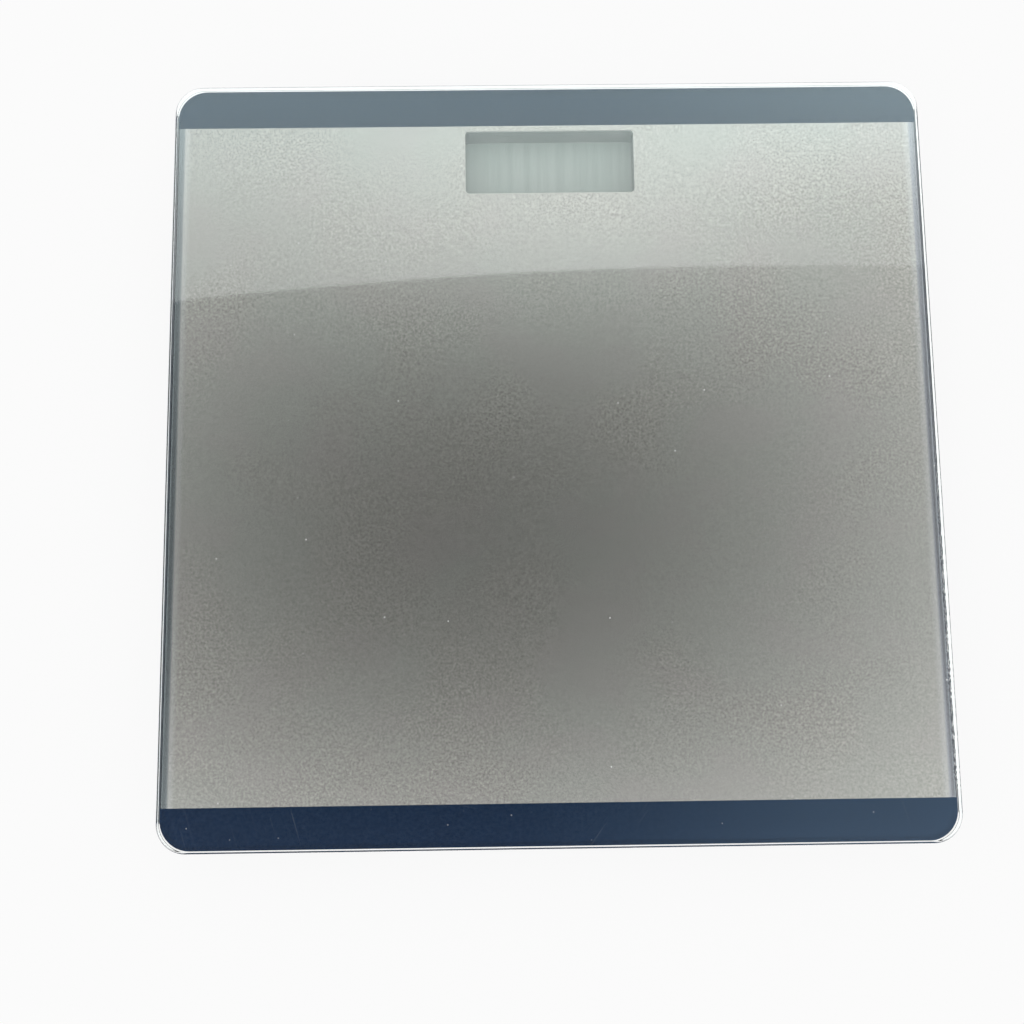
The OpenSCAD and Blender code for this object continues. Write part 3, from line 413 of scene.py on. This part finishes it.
def polished_glass():
    """Tempered float glass: nearly flat, with slow waves from the furnace."""
    material, s, surface = new_material("polished_glass")
    waves = s.noise(s.place((1.6, 1, 1)), 9, 1.0)
    normal = s.bump(waves, 0.00012)
    clear_glass(s, surface, (0.985, 0.995, 0.99), roughness=0.03, ior=1.52, normal=normal)
    return material


def ground_glass(name, inked=False):
    """Ground glass: green-grey from outside; where it is seen through the plate it is pale and glows with
    painted light, though it is no lamp.

    Inked, it is dark where the print has run over it, and broken where the print's edge is ragged.
    """
    material, s, surface = new_material(name)
    grain = effect(s, GRAIN, Size=0.0004, Patch=0.01)
    within = s.node("ShaderNodeNewGeometry").outputs["Backfacing"]
    outer = s.mix(grain["Tone"], (0.47, 0.60, 0.56), (0.56, 0.68, 0.64))
    pale_glow_inside = s.mix(grain["Tone"], (0.86, 0.89, 0.88), (0.92, 0.945, 0.935))
    colour = s.mix(within, outer, pale_glow_inside)
    if inked:
        colour = s.mix(effect(s, PRINT_EDGE)["Run"], colour, (0.05, 0.06, 0.07))
    # Painted glow: seen from inside the plate, the ground side emits its own pale colour
    principled(
        s, surface, Base_Color=colour, Roughness=0.5, Normal=s.bump(grain["Height"], 0.00002),
        Emission_Color=s.mix(within, (0, 0, 0), colour), Emission_Strength=0.65,
    )
    return material


# Inside the silver field's edge: where a painted highlight and then a painted dark strip, standing in for the
# glass edge's reflections, set in and are full, by depth
EDGE_PAINTED_HIGHLIGHT, EDGE_PAINTED_SHADE = (-5.5 * MM, -3.0 * MM), (-3.1 * MM, -1.9 * MM)
# Where what differs between the left and the right side changes over
SIDE_TO_SIDE = (-0.1, 0.1)


def silver_ink():
    """Metallic silver print: fine flakes, slow clouds, dust and hairlines, a painted highlight and a painted
    dark strip inside its edges.
    """
    material, s, surface = new_material("silver_ink")
    grain = effect(s, GRAIN, Size=0.0009, Patch=0.05)
    flakes = s.remap(grain["Height"], 0.3, 0.7, smooth=False)
    colour = s.mix(flakes, (0.355, 0.351, 0.327), (0.605, 0.60, 0.563))
    colour = s.mix(s.remap(grain["Tone"], 0.35, 0.65, 0.0, 0.5), colour, (0.475, 0.495, 0.465))
    rosy = s.remap(s.noise(s.place((1.4, 1, 1)), 45, 3.0), 0.45, 0.7, 0.0, 0.35)
    colour = s.mix(rosy, colour, (0.495, 0.47, 0.46))
    edge = effect(s, PRINT_EDGE)
    x, _, _ = s.axes()
    # Painted highlight: a pale band a few millimetres inside the print's edge
    glow = s.remap(edge["Depth"], *EDGE_PAINTED_HIGHLIGHT, 0.0, 0.35)
    colour = s.mix(glow, colour, (0.66, 0.68, 0.69))
    # Painted dark strip just inside the print's edge, darker on the left than on the right
    painted_shade_strip = s.remap(edge["Depth"], *EDGE_PAINTED_SHADE)
    shade = s.mix(s.remap(x, *SIDE_TO_SIDE), (0.265, 0.30, 0.315), (0.41, 0.43, 0.47))
    colour = s.mix(painted_shade_strip, colour, shade)
    line = s.math("MULTIPLY", edge["Border"], s.remap(x, *SIDE_TO_SIDE, 0.95, 0.8))
    colour = s.mix(line, colour, (0.03, 0.035, 0.045))
    dust = effect(s, DUST, Spacing=0.028, Radius=0.00028)
    lines = effect(s, HAIRLINES, Amount=0.08)
    marks = s.math("MAXIMUM", s.math("MULTIPLY", dust["Specks"], 0.7), lines["Mask"])
    colour = s.mix(marks, colour, (0.9, 0.9, 0.89))
    rough = s.remap(flakes, 0.0, 1.0, 0.26, 0.22, smooth=False)
    metal_share = s.math("SUBTRACT", 1.0, marks)
    principled(
        s, surface, Base_Color=colour, Metallic=metal_share, Roughness=rough, IOR=1.05,
        Normal=s.bump(grain["Height"], 0.000002), Alpha=edge["Inside"],
    )
    return material


# Where a painted reflection makes the front band paler, from its middle towards the right
PAINTED_REFLECTION_ACROSS = (-0.03, 0.11)


def navy_ink():
    """Dark navy print with dust and hairlines, paler towards the right of the front band as a painted
    reflection.
    """
    material, s, surface = new_material("navy_ink")
    grain = effect(s, GRAIN, Size=0.0012, Patch=0.035)
    colour = s.mix(grain["Tone"], (0.002, 0.017, 0.054), (0.004, 0.024, 0.067))
    flakes = s.remap(grain["Height"], 0.35, 0.65, smooth=False)
    colour = s.mix(flakes, colour, (0.012, 0.033, 0.078))
    x, y, _ = s.axes()
    # Painted reflection: the front band paler towards the right
    painted_reflection_right = s.math("MULTIPLY", s.remap(x, *PAINTED_REFLECTION_ACROSS, 0.0, 0.85), s.math("LESS_THAN", y, 0.0))
    colour = s.mix(painted_reflection_right, colour, (0.043, 0.079, 0.134))
    dust = effect(s, DUST, Spacing=0.016, Radius=0.00026)
    lines = effect(s, HAIRLINES, Amount=0.06)
    marks = s.math("MAXIMUM", s.math("MULTIPLY", dust["Specks"], 0.6), lines["Mask"])
    colour = s.mix(marks, colour, (0.5, 0.52, 0.55))
    metal_share = s.math("SUBTRACT", 0.85, marks)
    inside = effect(s, PRINT_EDGE)["Inside"]
    principled(
        s, surface, Base_Color=colour, Metallic=metal_share, Roughness=0.4, IOR=1.05, Alpha=inside,
    )
    return material


def grained(name, dark, light, roughness=0.5, size=0.0006, depth=0.00002, wear=0.5, worn=None):
    """Moulded plastic or rubber: grain of a size and depth in metres, slow tone, dusty film, worn edges."""
    material, s, surface = new_material(name)
    grain = effect(s, GRAIN, Size=size, Patch=0.03)
    film = effect(s, DUST, Spacing=0.012, Radius=0.00015)
    colour = s.mix(grain["Tone"], dark, light)
    pale = worn or [min(1.0, c * 1.12 + 0.02) for c in light]
    mask = effect(s, WEAR, Amount=wear)["Mask"]
    colour = s.mix(mask, colour, pale)
    colour = s.mix(s.math("MULTIPLY", film["Film"], 0.18), colour, (0.55, 0.54, 0.52))
    rough = s.remap(grain["Height"], 0.3, 0.7, roughness - 0.06, roughness + 0.08, smooth=False)
    principled(s, surface, Base_Color=colour, Roughness=rough, Normal=s.bump(grain["Height"], depth))
    return material


def metal(name, colour, roughness, stretch, tint=(0.9, 0.88, 0.84)):
    """Bare or plated metal: brushed or rolled lines, blotches and bright edges."""
    material, s, surface = new_material(name)
    lines = s.noise(s.place(stretch), 3000, 2.0)
    blotch = s.noise(s.place(), 150, 3.0)
    tone = s.mix(s.remap(blotch, 0.3, 0.7), colour, [a * b for a, b in zip(colour, tint)])
    mask = effect(s, WEAR, Amount=0.6)["Mask"]
    tone = s.mix(mask, tone, (0.85, 0.85, 0.85))
    rough = s.remap(lines, 0.3, 0.7, roughness - 0.07, roughness + 0.1, smooth=False)
    principled(
        s, surface, Base_Color=tone, Metallic=1.0, Roughness=rough, Normal=s.bump(lines, 0.000008),
    )
    return material


def cover_coat():
    """The matt grey coat behind the print: screen mesh marks and faint scuffs."""
    material, s, surface = new_material("cover_coat")
    weave = s.node("ShaderNodeTexWave", {"Vector": s.place(), "Scale": 700, "Distortion": 0.4})
    grain = effect(s, GRAIN, Size=0.002, Patch=0.06)
    scuffs = effect(s, HAIRLINES, Amount=0.25)
    film = effect(s, DUST, Spacing=0.02, Radius=0.0002)
    colour = s.mix(grain["Tone"], (0.50, 0.51, 0.51), (0.57, 0.58, 0.58))
    colour = s.mix(s.math("MAXIMUM", scuffs["Mask"], film["Specks"]), colour, (0.8, 0.8, 0.79))
    height = s.math("MULTIPLY_ADD", weave.outputs[1], 0.25, grain["Height"])
    inside = effect(s, PRINT_EDGE)["Inside"]
    principled(
        s, surface, Base_Color=colour, Roughness=0.62, Normal=s.bump(height, 0.00002), Alpha=inside,
    )
    return material


def foam_tape():
    """Off-white foam with open cells, darker in them as painted shade."""
    material, s, surface = new_material("foam_tape")
    cells = s.node("ShaderNodeTexVoronoi", {"Vector": s.place(), "Scale": 2600}).outputs["Distance"]
    tone = s.noise(s.place(), 120, 2.0)
    colour = s.mix(tone, (0.80, 0.80, 0.77), (0.9, 0.9, 0.87))
    # Painted shade in the open cells
    colour = s.mix(s.remap(cells, 0.25, 0.0), colour, (0.6, 0.6, 0.57))
    principled(s, surface, Base_Color=colour, Roughness=0.85, Normal=s.bump(cells, 0.00006))
    return material


# How far in from its left and right sides the display film is lighter, as painted light against the shade of
# the well's walls
DISPLAY_PAINTED_LIGHT = 9 * MM


def display_film():
    """Grey-green display film with faint upright streaks of the electrodes, and painted light a little in
    from its sides.
    """
    material, s, surface = new_material("display_film")
    streaks = s.noise(s.place((1, 30, 1)), 420, 2.0)
    patches = s.noise(s.place(), 70, 2.0)
    colour = s.mix(s.remap(streaks, 0.35, 0.65), (0.280, 0.336, 0.308), (0.329, 0.384, 0.354))
    colour = s.mix(s.remap(patches, 0.35, 0.7, 0.0, 0.5), colour, (0.297, 0.367, 0.333))
    dust = effect(s, DUST, Spacing=0.012, Radius=0.00022)
    colour = s.mix(s.math("MULTIPLY", dust["Specks"], 0.5), colour, (0.6, 0.62, 0.6))
    low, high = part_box("front_polariser")
    x, _, _ = s.axes()
    aside = s.math("MINIMUM", s.math("SUBTRACT", x, low.x), s.math("SUBTRACT", high.x, x))
    # Painted light: lighter towards its left and right sides, against the well walls' shade
    colour = s.mix(s.remap(aside, 0.0, DISPLAY_PAINTED_LIGHT, 0.35, 0.0), colour, (0.43, 0.50, 0.465))
    principled(s, surface, Base_Color=colour, Roughness=0.4, Specular_IOR_Level=0.3)
    return material


def thin_glass():
    """The display's own thin glass."""
    material, s, surface = new_material("display_glass")
    tint = s.mix(s.noise(s.place(), 90, 2.0), (0.86, 0.94, 0.91), (0.9, 0.96, 0.94))
    clear_glass(s, surface, tint, roughness=0.04, ior=1.5)
    return material


def board_laminate():
    """Green solder mask over straight copper tracks."""
    material, s, surface = new_material("board_laminate")
    bricks = {"Vector": s.place(), "Scale": 420, "Mortar Size": 0.06, "Brick Width": 3.0, "Row Height": 0.55}
    tracks = s.node("ShaderNodeTexBrick", bricks).outputs["Fac"]
    colour = s.mix(tracks, (0.020, 0.14, 0.055), (0.045, 0.24, 0.10))
    speck = effect(s, DUST, Spacing=0.002, Radius=0.0003)
    colour = s.mix(speck["Specks"], colour, (0.65, 0.62, 0.55))
    principled(s, surface, Base_Color=colour, Roughness=0.32, Normal=s.bump(tracks, 0.00003))
    return material


# Along a cell from its low end: where the copper tone starts, and how much of either end is bare
SLEEVE_CHANGE, SLEEVE_BLEND = 29.5 * MM, 0.5 * MM
BARE_LOW, BARE_HIGH, BARE_BLEND = 0.9 * MM, 1.1 * MM, 0.1 * MM


def cell_sleeve():
    """A plain sleeve: dark body, a copper-toned end and bare metal at both ends."""
    material, s, surface = new_material("cell_sleeve")
    x, _, _ = s.axes()
    low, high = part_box("battery_cell_front")
    change = low.x + SLEEVE_CHANGE
    top = s.remap(x, change, change + SLEEVE_BLEND, smooth=False)
    colour = s.mix(top, (0.03, 0.035, 0.04), (0.62, 0.33, 0.12))
    bare_low = s.remap(x, low.x + BARE_LOW + BARE_BLEND, low.x + BARE_LOW)
    bare_high = s.remap(x, high.x - BARE_HIGH - BARE_BLEND, high.x - BARE_HIGH)
    bare = s.math("MAXIMUM", bare_high, bare_low)
    colour = s.mix(bare, colour, (0.75, 0.75, 0.76))
    scratch = effect(s, HAIRLINES, Amount=0.5)["Mask"]
    colour = s.mix(scratch, colour, (0.5, 0.5, 0.5))
    principled(s, surface, Base_Color=colour, Metallic=bare, Roughness=0.3)
    return material


def lead_core(name, colour):
    """Soft PVC over one wire: smooth, a little shiny and hardly worn."""
    dark = [c * 0.9 for c in colour]
    return grained(name, dark, colour, roughness=0.42, size=0.0009, depth=0.00001, wear=0.1)


def make_materials():
    white_dark, white_light = (0.80, 0.80, 0.77), (0.86, 0.86, 0.83)
    return {
        "lead_covering": lead_core("lead_covering", (0.62, 0.06, 0.05)),
        "glass": polished_glass(),
        "ground_edge": ground_glass("ground_edge"),
        "arris_ink": ground_glass("arris_ink", inked=True),
        "silver_ink": silver_ink(),
        "navy_ink": navy_ink(),
        "cover_coat": cover_coat(),
        "foam_tape": foam_tape(),
        "white_plastic": grained("white_plastic", white_dark, white_light, size=0.0005, depth=0.000025),
        # Painted shade: the display well's walls are dark grey-green for the shade they lie in
        "well_painted_shade": grained("well_painted_shade", (0.16, 0.185, 0.175), (0.185, 0.21, 0.20), roughness=0.55),
        "cap_plastic": grained(
            "cap_plastic", (0.74, 0.74, 0.71), (0.80, 0.80, 0.77), roughness=0.48, size=0.0005,
        ),
        "button_plastic": grained(
            "button_plastic", (0.10, 0.11, 0.13), (0.13, 0.14, 0.16), roughness=0.45, size=0.0004,
        ),
        "switch_plastic": grained(
            "switch_plastic", (0.025, 0.025, 0.028), (0.04, 0.04, 0.045), roughness=0.4,
        ),
        "plunger_plastic": grained(
            "plunger_plastic", (0.76, 0.76, 0.73), (0.82, 0.82, 0.79), roughness=0.4,
        ),
        "rubber": grained(
            "rubber", (0.022, 0.022, 0.024), (0.04, 0.04, 0.042), roughness=0.75, size=0.0008,
            depth=0.00006, wear=0.8, worn=(0.16, 0.16, 0.155),
        ),
        "white_resin": grained(
            "white_resin", (0.84, 0.84, 0.81), (0.9, 0.9, 0.87), roughness=0.35, size=0.003,
            depth=0.0001, wear=0.0,
        ),
        "black_resin": grained(
            "black_resin", (0.012, 0.012, 0.013), (0.02, 0.02, 0.022), roughness=0.22, size=0.002,
            depth=0.00008, wear=0.0,
        ),
        "part_cases": grained(
            "part_cases", (0.05, 0.04, 0.035), (0.09, 0.075, 0.06), roughness=0.35, size=0.001,
        ),
        "stamped_steel": metal("stamped_steel", (0.58, 0.59, 0.61), roughness=0.35, stretch=(1, 20, 1)),
        "screw_steel": metal(
            "screw_steel", (0.66, 0.67, 0.68), roughness=0.25, stretch=(1, 1, 10), tint=(0.95, 0.93, 0.82),
        ),
        "contact_metal": metal("contact_metal", (0.70, 0.69, 0.66), roughness=0.22, stretch=(10, 1, 1)),
        "lcd_film": display_film(),
        "reflector_film": grained(
            "reflector_film", (0.58, 0.61, 0.58), (0.66, 0.69, 0.66), roughness=0.3, size=0.0004,
            depth=0.00001, wear=0.0,
        ),
        "lcd_glass": thin_glass(),
        "ribbon_film": grained(
            "ribbon_film", (0.42, 0.26, 0.07), (0.5, 0.32, 0.1), roughness=0.35, size=0.0009,
            depth=0.00001, wear=0.0,
        ),
        "board_laminate": board_laminate(),
        "cell_sleeve": cell_sleeve(),
        "core_red": lead_core("core_red", (0.62, 0.06, 0.05)),
        "core_white": lead_core("core_white", (0.8, 0.79, 0.75)),
        "core_black": lead_core("core_black", (0.03, 0.03, 0.032)),
    }


MATERIALS = make_materials()
SLOT_OF = {part["node"]: part["material_slot"] for part in frame["record"]["subparts"]}
BODY_OF = {node: body for body, nodes in frame["record"]["behaviour"]["bodies"].items() for node in nodes}


def finish_cad_nodes():
    """Every node that keeps its own mesh takes the finish of its slot."""
    for node, piece in NODES.items():
        piece.data.materials.clear()
        piece.data.materials.append(MATERIALS[SLOT_OF[node]])


# ---------------------------------------------------------------- mesh helpers

def add_object(name, data, body, replaces=()):
    piece = bpy.data.objects.new(name, data)
    bpy.context.scene.collection.objects.link(piece)
    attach(piece, body)
    if replaces:
        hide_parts(*replaces)
    return piece


def add_piece(name, bm, materials, body, replaces=(), smooth=35):
    """Turns a bmesh into a finished piece that rides on a body, smooth up to an angle in degrees."""
    mesh = bpy.data.meshes.new(name)
    bm.to_mesh(mesh)
    bm.free()
    for material in materials:
        mesh.materials.append(MATERIALS[material])
    mesh.shade_smooth()
    mesh.set_sharp_from_angle(angle=math.radians(smooth))
    return add_object(name, mesh, body, replaces)


# Points this close are one point; edges sharper than SHARP_TURN, in degrees, can be softened, and where faces
# meet at less than FLAT_TURN they are joined
SAME_PLACE = 1e-6
SHARP_TURN, FLAT_TURN = 40, 0.5


def bevel(bm, edges, width, segments=2):
    bmesh.ops.bevel(
        bm, geom=list(edges), offset=width, offset_type="OFFSET", segments=segments, profile=0.5,
        affect="EDGES", clamp_overlap=True, material=-1,
    )


def cad_copy(node):
    """A merged copy of a node's mesh, with its flat faces joined."""
    bm = bmesh.new()
    bm.from_mesh(NODES[node].data)
    bmesh.ops.remove_doubles(bm, verts=bm.verts, dist=SAME_PLACE)
    bmesh.ops.dissolve_limit(
        bm, angle_limit=math.radians(FLAT_TURN), verts=bm.verts, edges=bm.edges,
        use_dissolve_boundaries=False, delimit=set(),
    )
    return bm


def softened(node, width, chosen=lambda edge: True):
    """A copy of a node with its chosen sharp edges rounded."""
    bm = cad_copy(node)
    limit = math.radians(SHARP_TURN)
    sharp = [e for e in bm.edges if len(e.link_faces) == 2 and e.calc_face_angle(0) > limit]
    bevel(bm, [e for e in sharp if chosen(e)], width)
    return bm


def in_window(point, spare):
    """Whether a point lies in the box over the display, or within a spare distance of it."""
    return all(low - spare <= p <= high + spare for p, low, high in zip(point, *WINDOW_BOX))


# ---------------------------------------------------------------- pieces

GLASS_CORNER, CORNER_STEPS = 10.5 * MM, 24
GLASS_ARRIS, ARRIS_STEPS = 0.9 * MM, 8
UNDER_ARRIS, UNDER_STEPS = 0.4 * MM, 3
# A narrow ring round each flat face keeps its shading flat
FLAT_RING = 0.2 * MM
# How far the glass reaches down into the bond with the print
BOND = 0.07 * MM
# By the upward part of its normal a face is upright below one value and level above the other; the lower
# arris of a left or right side has next to nothing of its normal along that side
UPRIGHT, LEVEL, STRAIGHT = 0.1, 0.99, 0.01


def make_glass():
    """The platform: round corners, a polished round arris on top, ground sides, bonded to the print."""
    low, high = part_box("glass_platform")
    low.z -= BOND
    size, centre = high - low, (high + low) / 2
    bm = bmesh.new()
    bmesh.ops.create_cube(bm, size=1)
    bmesh.ops.scale(bm, vec=size, verts=bm.verts)
    upright = [e for e in bm.edges if abs(e.verts[0].co.z - e.verts[1].co.z) > size.z / 2]
    bevel(bm, upright, GLASS_CORNER, CORNER_STEPS)
    for side, width, steps in ((1, GLASS_ARRIS, ARRIS_STEPS), (-1, UNDER_ARRIS, UNDER_STEPS)):
        face = next(f for f in bm.faces if f.normal.z * side > LEVEL)
        bevel(bm, face.edges, width, steps)
    for side in (1, -1):
        flat = max(bm.faces, key=lambda f: f.normal.z * side * f.calc_area())
        bmesh.ops.inset_region(bm, faces=[flat], thickness=FLAT_RING, use_even_offset=True)
    for face in bm.faces:
        across, along, up = face.normal
        if abs(up) < UPRIGHT:
            face.material_index = 1
        elif -LEVEL < up < -UPRIGHT and abs(across) > UPRIGHT and abs(along) < STRAIGHT:
            face.material_index = 2
    bmesh.ops.translate(bm, vec=centre, verts=bm.verts)
    materials = ["glass", "ground_edge", "arris_ink"]
    add_piece("glass_plate", bm, materials, "platform", ["glass_platform"], smooth=30)


# The radius of the case's soft outer edges
CASE_SOFT = 0.25 * MM
# How far the foot of the display well's rear wall leans forward
WELL_DRAFT = 0.8 * MM
# How close outer edges lie to the case's outline, and the well's faces and its foot to the window
OUTLINE_NEAR, WELL_NEAR, FOOT_NEAR = 0.05 * MM, 1 * MM, 1.3 * MM


def make_case():
    """The case moulding with soft outer edges; the walls of its display well are coloured dark grey as
    painted shade.
    """
    low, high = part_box("upper_case")

    def outer(edge):
        middle = (edge.verts[0].co + edge.verts[1].co) / 2
        near = min(middle.x - low.x, high.x - middle.x, middle.y - low.y, high.y - middle.y)
        return near < OUTLINE_NEAR

    bm = softened("upper_case", CASE_SOFT, outer)
    # The display well's faces take the painted shade
    for face in bm.faces:
        if in_window(face.calc_center_median(), WELL_NEAR):
            face.material_index = 1
    (_, _, floor), (_, rear, _) = WINDOW_BOX
    foot = [v for v in bm.verts if in_window(v.co, FOOT_NEAR) and v.co.z < floor and v.co.y > rear]
    bmesh.ops.translate(bm, vec=(0, -WELL_DRAFT, 0), verts=foot)
    materials = ["white_plastic", "well_painted_shade"]
    add_piece("case_moulding", bm, materials, "platform", ["upper_case"])


# The radius of the soft edges, in millimetres, by node or by the part of its name before the corner
SOFT_EDGES = {
    "lower_cover": 0.2, "battery_cover": 0.15, "unit_button": 0.4, "lead_clips": 0.3, "foot_housing": 0.4,
    "foot_cap": 0.25, "foot_pad": 0.3, "load_cell": 0.15, "gauge_resin": 0.4, "lcd_holder": 0.2,
    "unit_switch": 0.2, "switch_plunger": 0.3, "battery_cell_front": 0.35, "battery_cell_rear": 0.35,
    "controller_chip": 0.1,
}


def make_softened():
    """Moulded and pressed pieces get the rounded edges that their tools leave."""
    for node in NODES:
        family = node
        for corner in CORNERS:
            family = family.removesuffix("_" + corner)
        width = SOFT_EDGES.get(family)
        if width:
            slot = SLOT_OF[node]
            add_piece(node + "_soft", softened(node, width * MM), [slot], BODY_OF[node], [node])


# Under the glass a lead's points are shares: of the feet's distance across, and of the way to the case
LEAD_ROUTES = {
    "front_left": [(-0.62, 0.25), (-0.29, 0.51), (0.06, 0.76), (0.18, 0.88)],
    "front_right": [(0.63, 0.26), (0.48, 0.51), (0.37, 0.74), (0.32, 0.88)],
    "rear_left": [(-0.69, 1), (-0.54, 0.92), (-0.29, 0.9), (0, 0.9), (0.1, 0.93)],
    "rear_right": [(0.69, 1), (0.58, 0.93), (0.46, 0.92)],
}
LEAD_ORDER = {"front_left": 2, "front_right": 3, "rear_left": 1, "rear_right": 4}
# Out of a foot: where the lead leaves the resin and lies straight, and how close to the housing's wall
LEAD_OUT, LEAD_STRAIGHT, LEAD_WALL = 12.1 * MM, 17 * MM, 2 * MM
# Into the case: the leads' pitch, the place of the first, and how far each reaches over the board
LEAD_PITCH, LEAD_FIRST, LEAD_END = 8 * MM, 2.9 * MM, 4 * MM
# Between two levels a lead stays level for a little, then slopes
LEAD_LEVEL, LEAD_SLOPE = 2 * MM, 8 * MM
# A core's radius, the gap between it and what it lies against, and its steps from one point to the next
CORE_R, CORE_GAP, CORE_STEPS = 0.65 * MM, 0.02 * MM, 6


def lead_points(corner):
    """The middle line of a foot's lead: out of the housing, along the coat, into the case, onto the board."""
    low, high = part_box("foot_housing_" + corner)
    foot, foot_r = (low + high) / 2, (high.x - low.x) / 2
    foot_at = abs(foot.x)
    gauge_low, gauge_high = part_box("gauge_resin_" + corner)
    case_low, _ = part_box("upper_case")
    board_low, board_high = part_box("circuit_board")
    z_start = (gauge_low.z + gauge_high.z) / 2
    z_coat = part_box("cover_coat")[0].z - CORE_R - CORE_GAP
    z_board = board_high.z + CORE_R + CORE_GAP

    def from_foot(along, z):
        reach = 1 - along / math.sqrt(2) / foot_at
        return Vector((foot.x * reach, foot.y * reach, z))

    level = foot_r + LEAD_LEVEL
    points = [from_foot(along, z_start) for along in (LEAD_OUT, LEAD_STRAIGHT, foot_r - LEAD_WALL, level)]
    points.append(from_foot(level + LEAD_SLOPE, z_coat))
    for x, y in LEAD_ROUTES[corner]:
        points.append(Vector((x * foot_at, y * (case_low.y + foot_at) - foot_at, z_coat)))
    entry = board_low.x + LEAD_FIRST + LEAD_PITCH * LEAD_ORDER[corner]
    outside = case_low.y - LEAD_LEVEL
    for y, z in ((outside - LEAD_SLOPE, z_coat), (outside, z_board), (board_low.y, z_board)):
        points.append(Vector((entry, y, z)))
    points.append(Vector((entry, board_low.y + LEAD_END, z_board)))
    return points, z_coat


def smooth_line(points, steps, z_top):
    """A smooth curve through the points, kept under the coat."""
    line = []
    for k in range(len(points) - 1):
        p0, p1, p2, p3 = (points[min(max(k + n, 0), len(points) - 1)] for n in (-1, 0, 1, 2))
        for step in range(steps):
            t = step / steps
            spot = (2 * p1 + (p2 - p0) * t + (2 * p0 - 5 * p1 + 4 * p2 - p3) * t ** 2
                    + (3 * p1 - p0 - 3 * p2 + p3) * t ** 3) / 2
            line.append(spot)
    line.append(points[-1])
    for spot in line:
        spot.z = min(spot.z, z_top)
    return line


def add_tube(data, line, material=0):
    """One spline of a round tube that follows the line."""
    spline = data.splines.new("POLY")
    spline.points.add(len(line) - 1)
    for point, spot in zip(spline.points, line):
        point.co = (*spot, 1)
    spline.use_smooth = True
    spline.material_index = material


def tube_data(name, radius, materials):
    """A curve that holds round tubes of one radius."""
    data = bpy.data.curves.new(name, "CURVE")
    data.dimensions = "3D"
    data.bevel_depth = radius
    data.bevel_resolution = 3
    data.use_fill_caps = True
    for material in materials:
        data.materials.append(MATERIALS[material])
    return data


def make_leads():
    """Each lead is three insulated cores side by side."""
    for corner in CORNERS:
        points, z_top = lead_points(corner)
        line = smooth_line(points, CORE_STEPS, z_top)
        data = tube_data("lead_cores_" + corner, CORE_R, ["core_red", "core_white", "core_black"])
        for core in range(3):
            row = []
            for k, spot in enumerate(line):
                ahead = line[min(k + 1, len(line) - 1)] - line[max(k - 1, 0)]
                side = Vector((-ahead.y, ahead.x, 0)).normalized()
                row.append(spot + side * (core - 1) * CORE_R * 2)
            add_tube(data, row, core)
        add_object("lead_cores_" + corner, data, "platform", ["lead_" + corner])


# A cell spring: the radius of its wire, its turns and the steps in each, and its outer radius on its plate
# and on its cell
SPRING_WIRE_R, SPRING_TURNS, SPRING_STEPS = 0.3 * MM, 4, 24
SPRING_BIG_R, SPRING_SMALL_R = 3.9 * MM, 2.6 * MM


def make_springs():
    """Two cone springs of round wire, each on its contact plate."""
    big_r, small_r = SPRING_BIG_R - SPRING_WIRE_R, SPRING_SMALL_R - SPRING_WIRE_R
    steps = SPRING_TURNS * SPRING_STEPS
    data = tube_data("spring_coils", SPRING_WIRE_R, ["contact_metal"])
    low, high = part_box("cell_springs")
    for cell, x_plate, way in (("battery_cell_front", low.x, 1), ("battery_cell_rear", high.x, -1)):
        cell_low, cell_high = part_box(cell)
        middle = (cell_low + cell_high) / 2
        x_cell = cell_low.x if way > 0 else cell_high.x
        length = abs(x_cell - x_plate) - 2 * SPRING_WIRE_R
        row = []
        for k in range(steps + 1):
            share = k / steps
            angle = 2 * math.pi * k / SPRING_STEPS
            radius = big_r + (small_r - big_r) * share
            along = x_plate + way * (SPRING_WIRE_R + length * share)
            row.append((along, middle.y + radius * math.sin(angle), middle.z + radius * math.cos(angle)))
        add_tube(data, row)
    add_object("spring_coils", data, "platform", ["cell_springs"])


make_camera()
make_floor()
make_softbox()
make_world()
finish_cad_nodes()
make_glass()
make_case()
make_softened()
make_leads()
make_springs()

bpy.context.scene.view_settings.view_transform = "Standard"
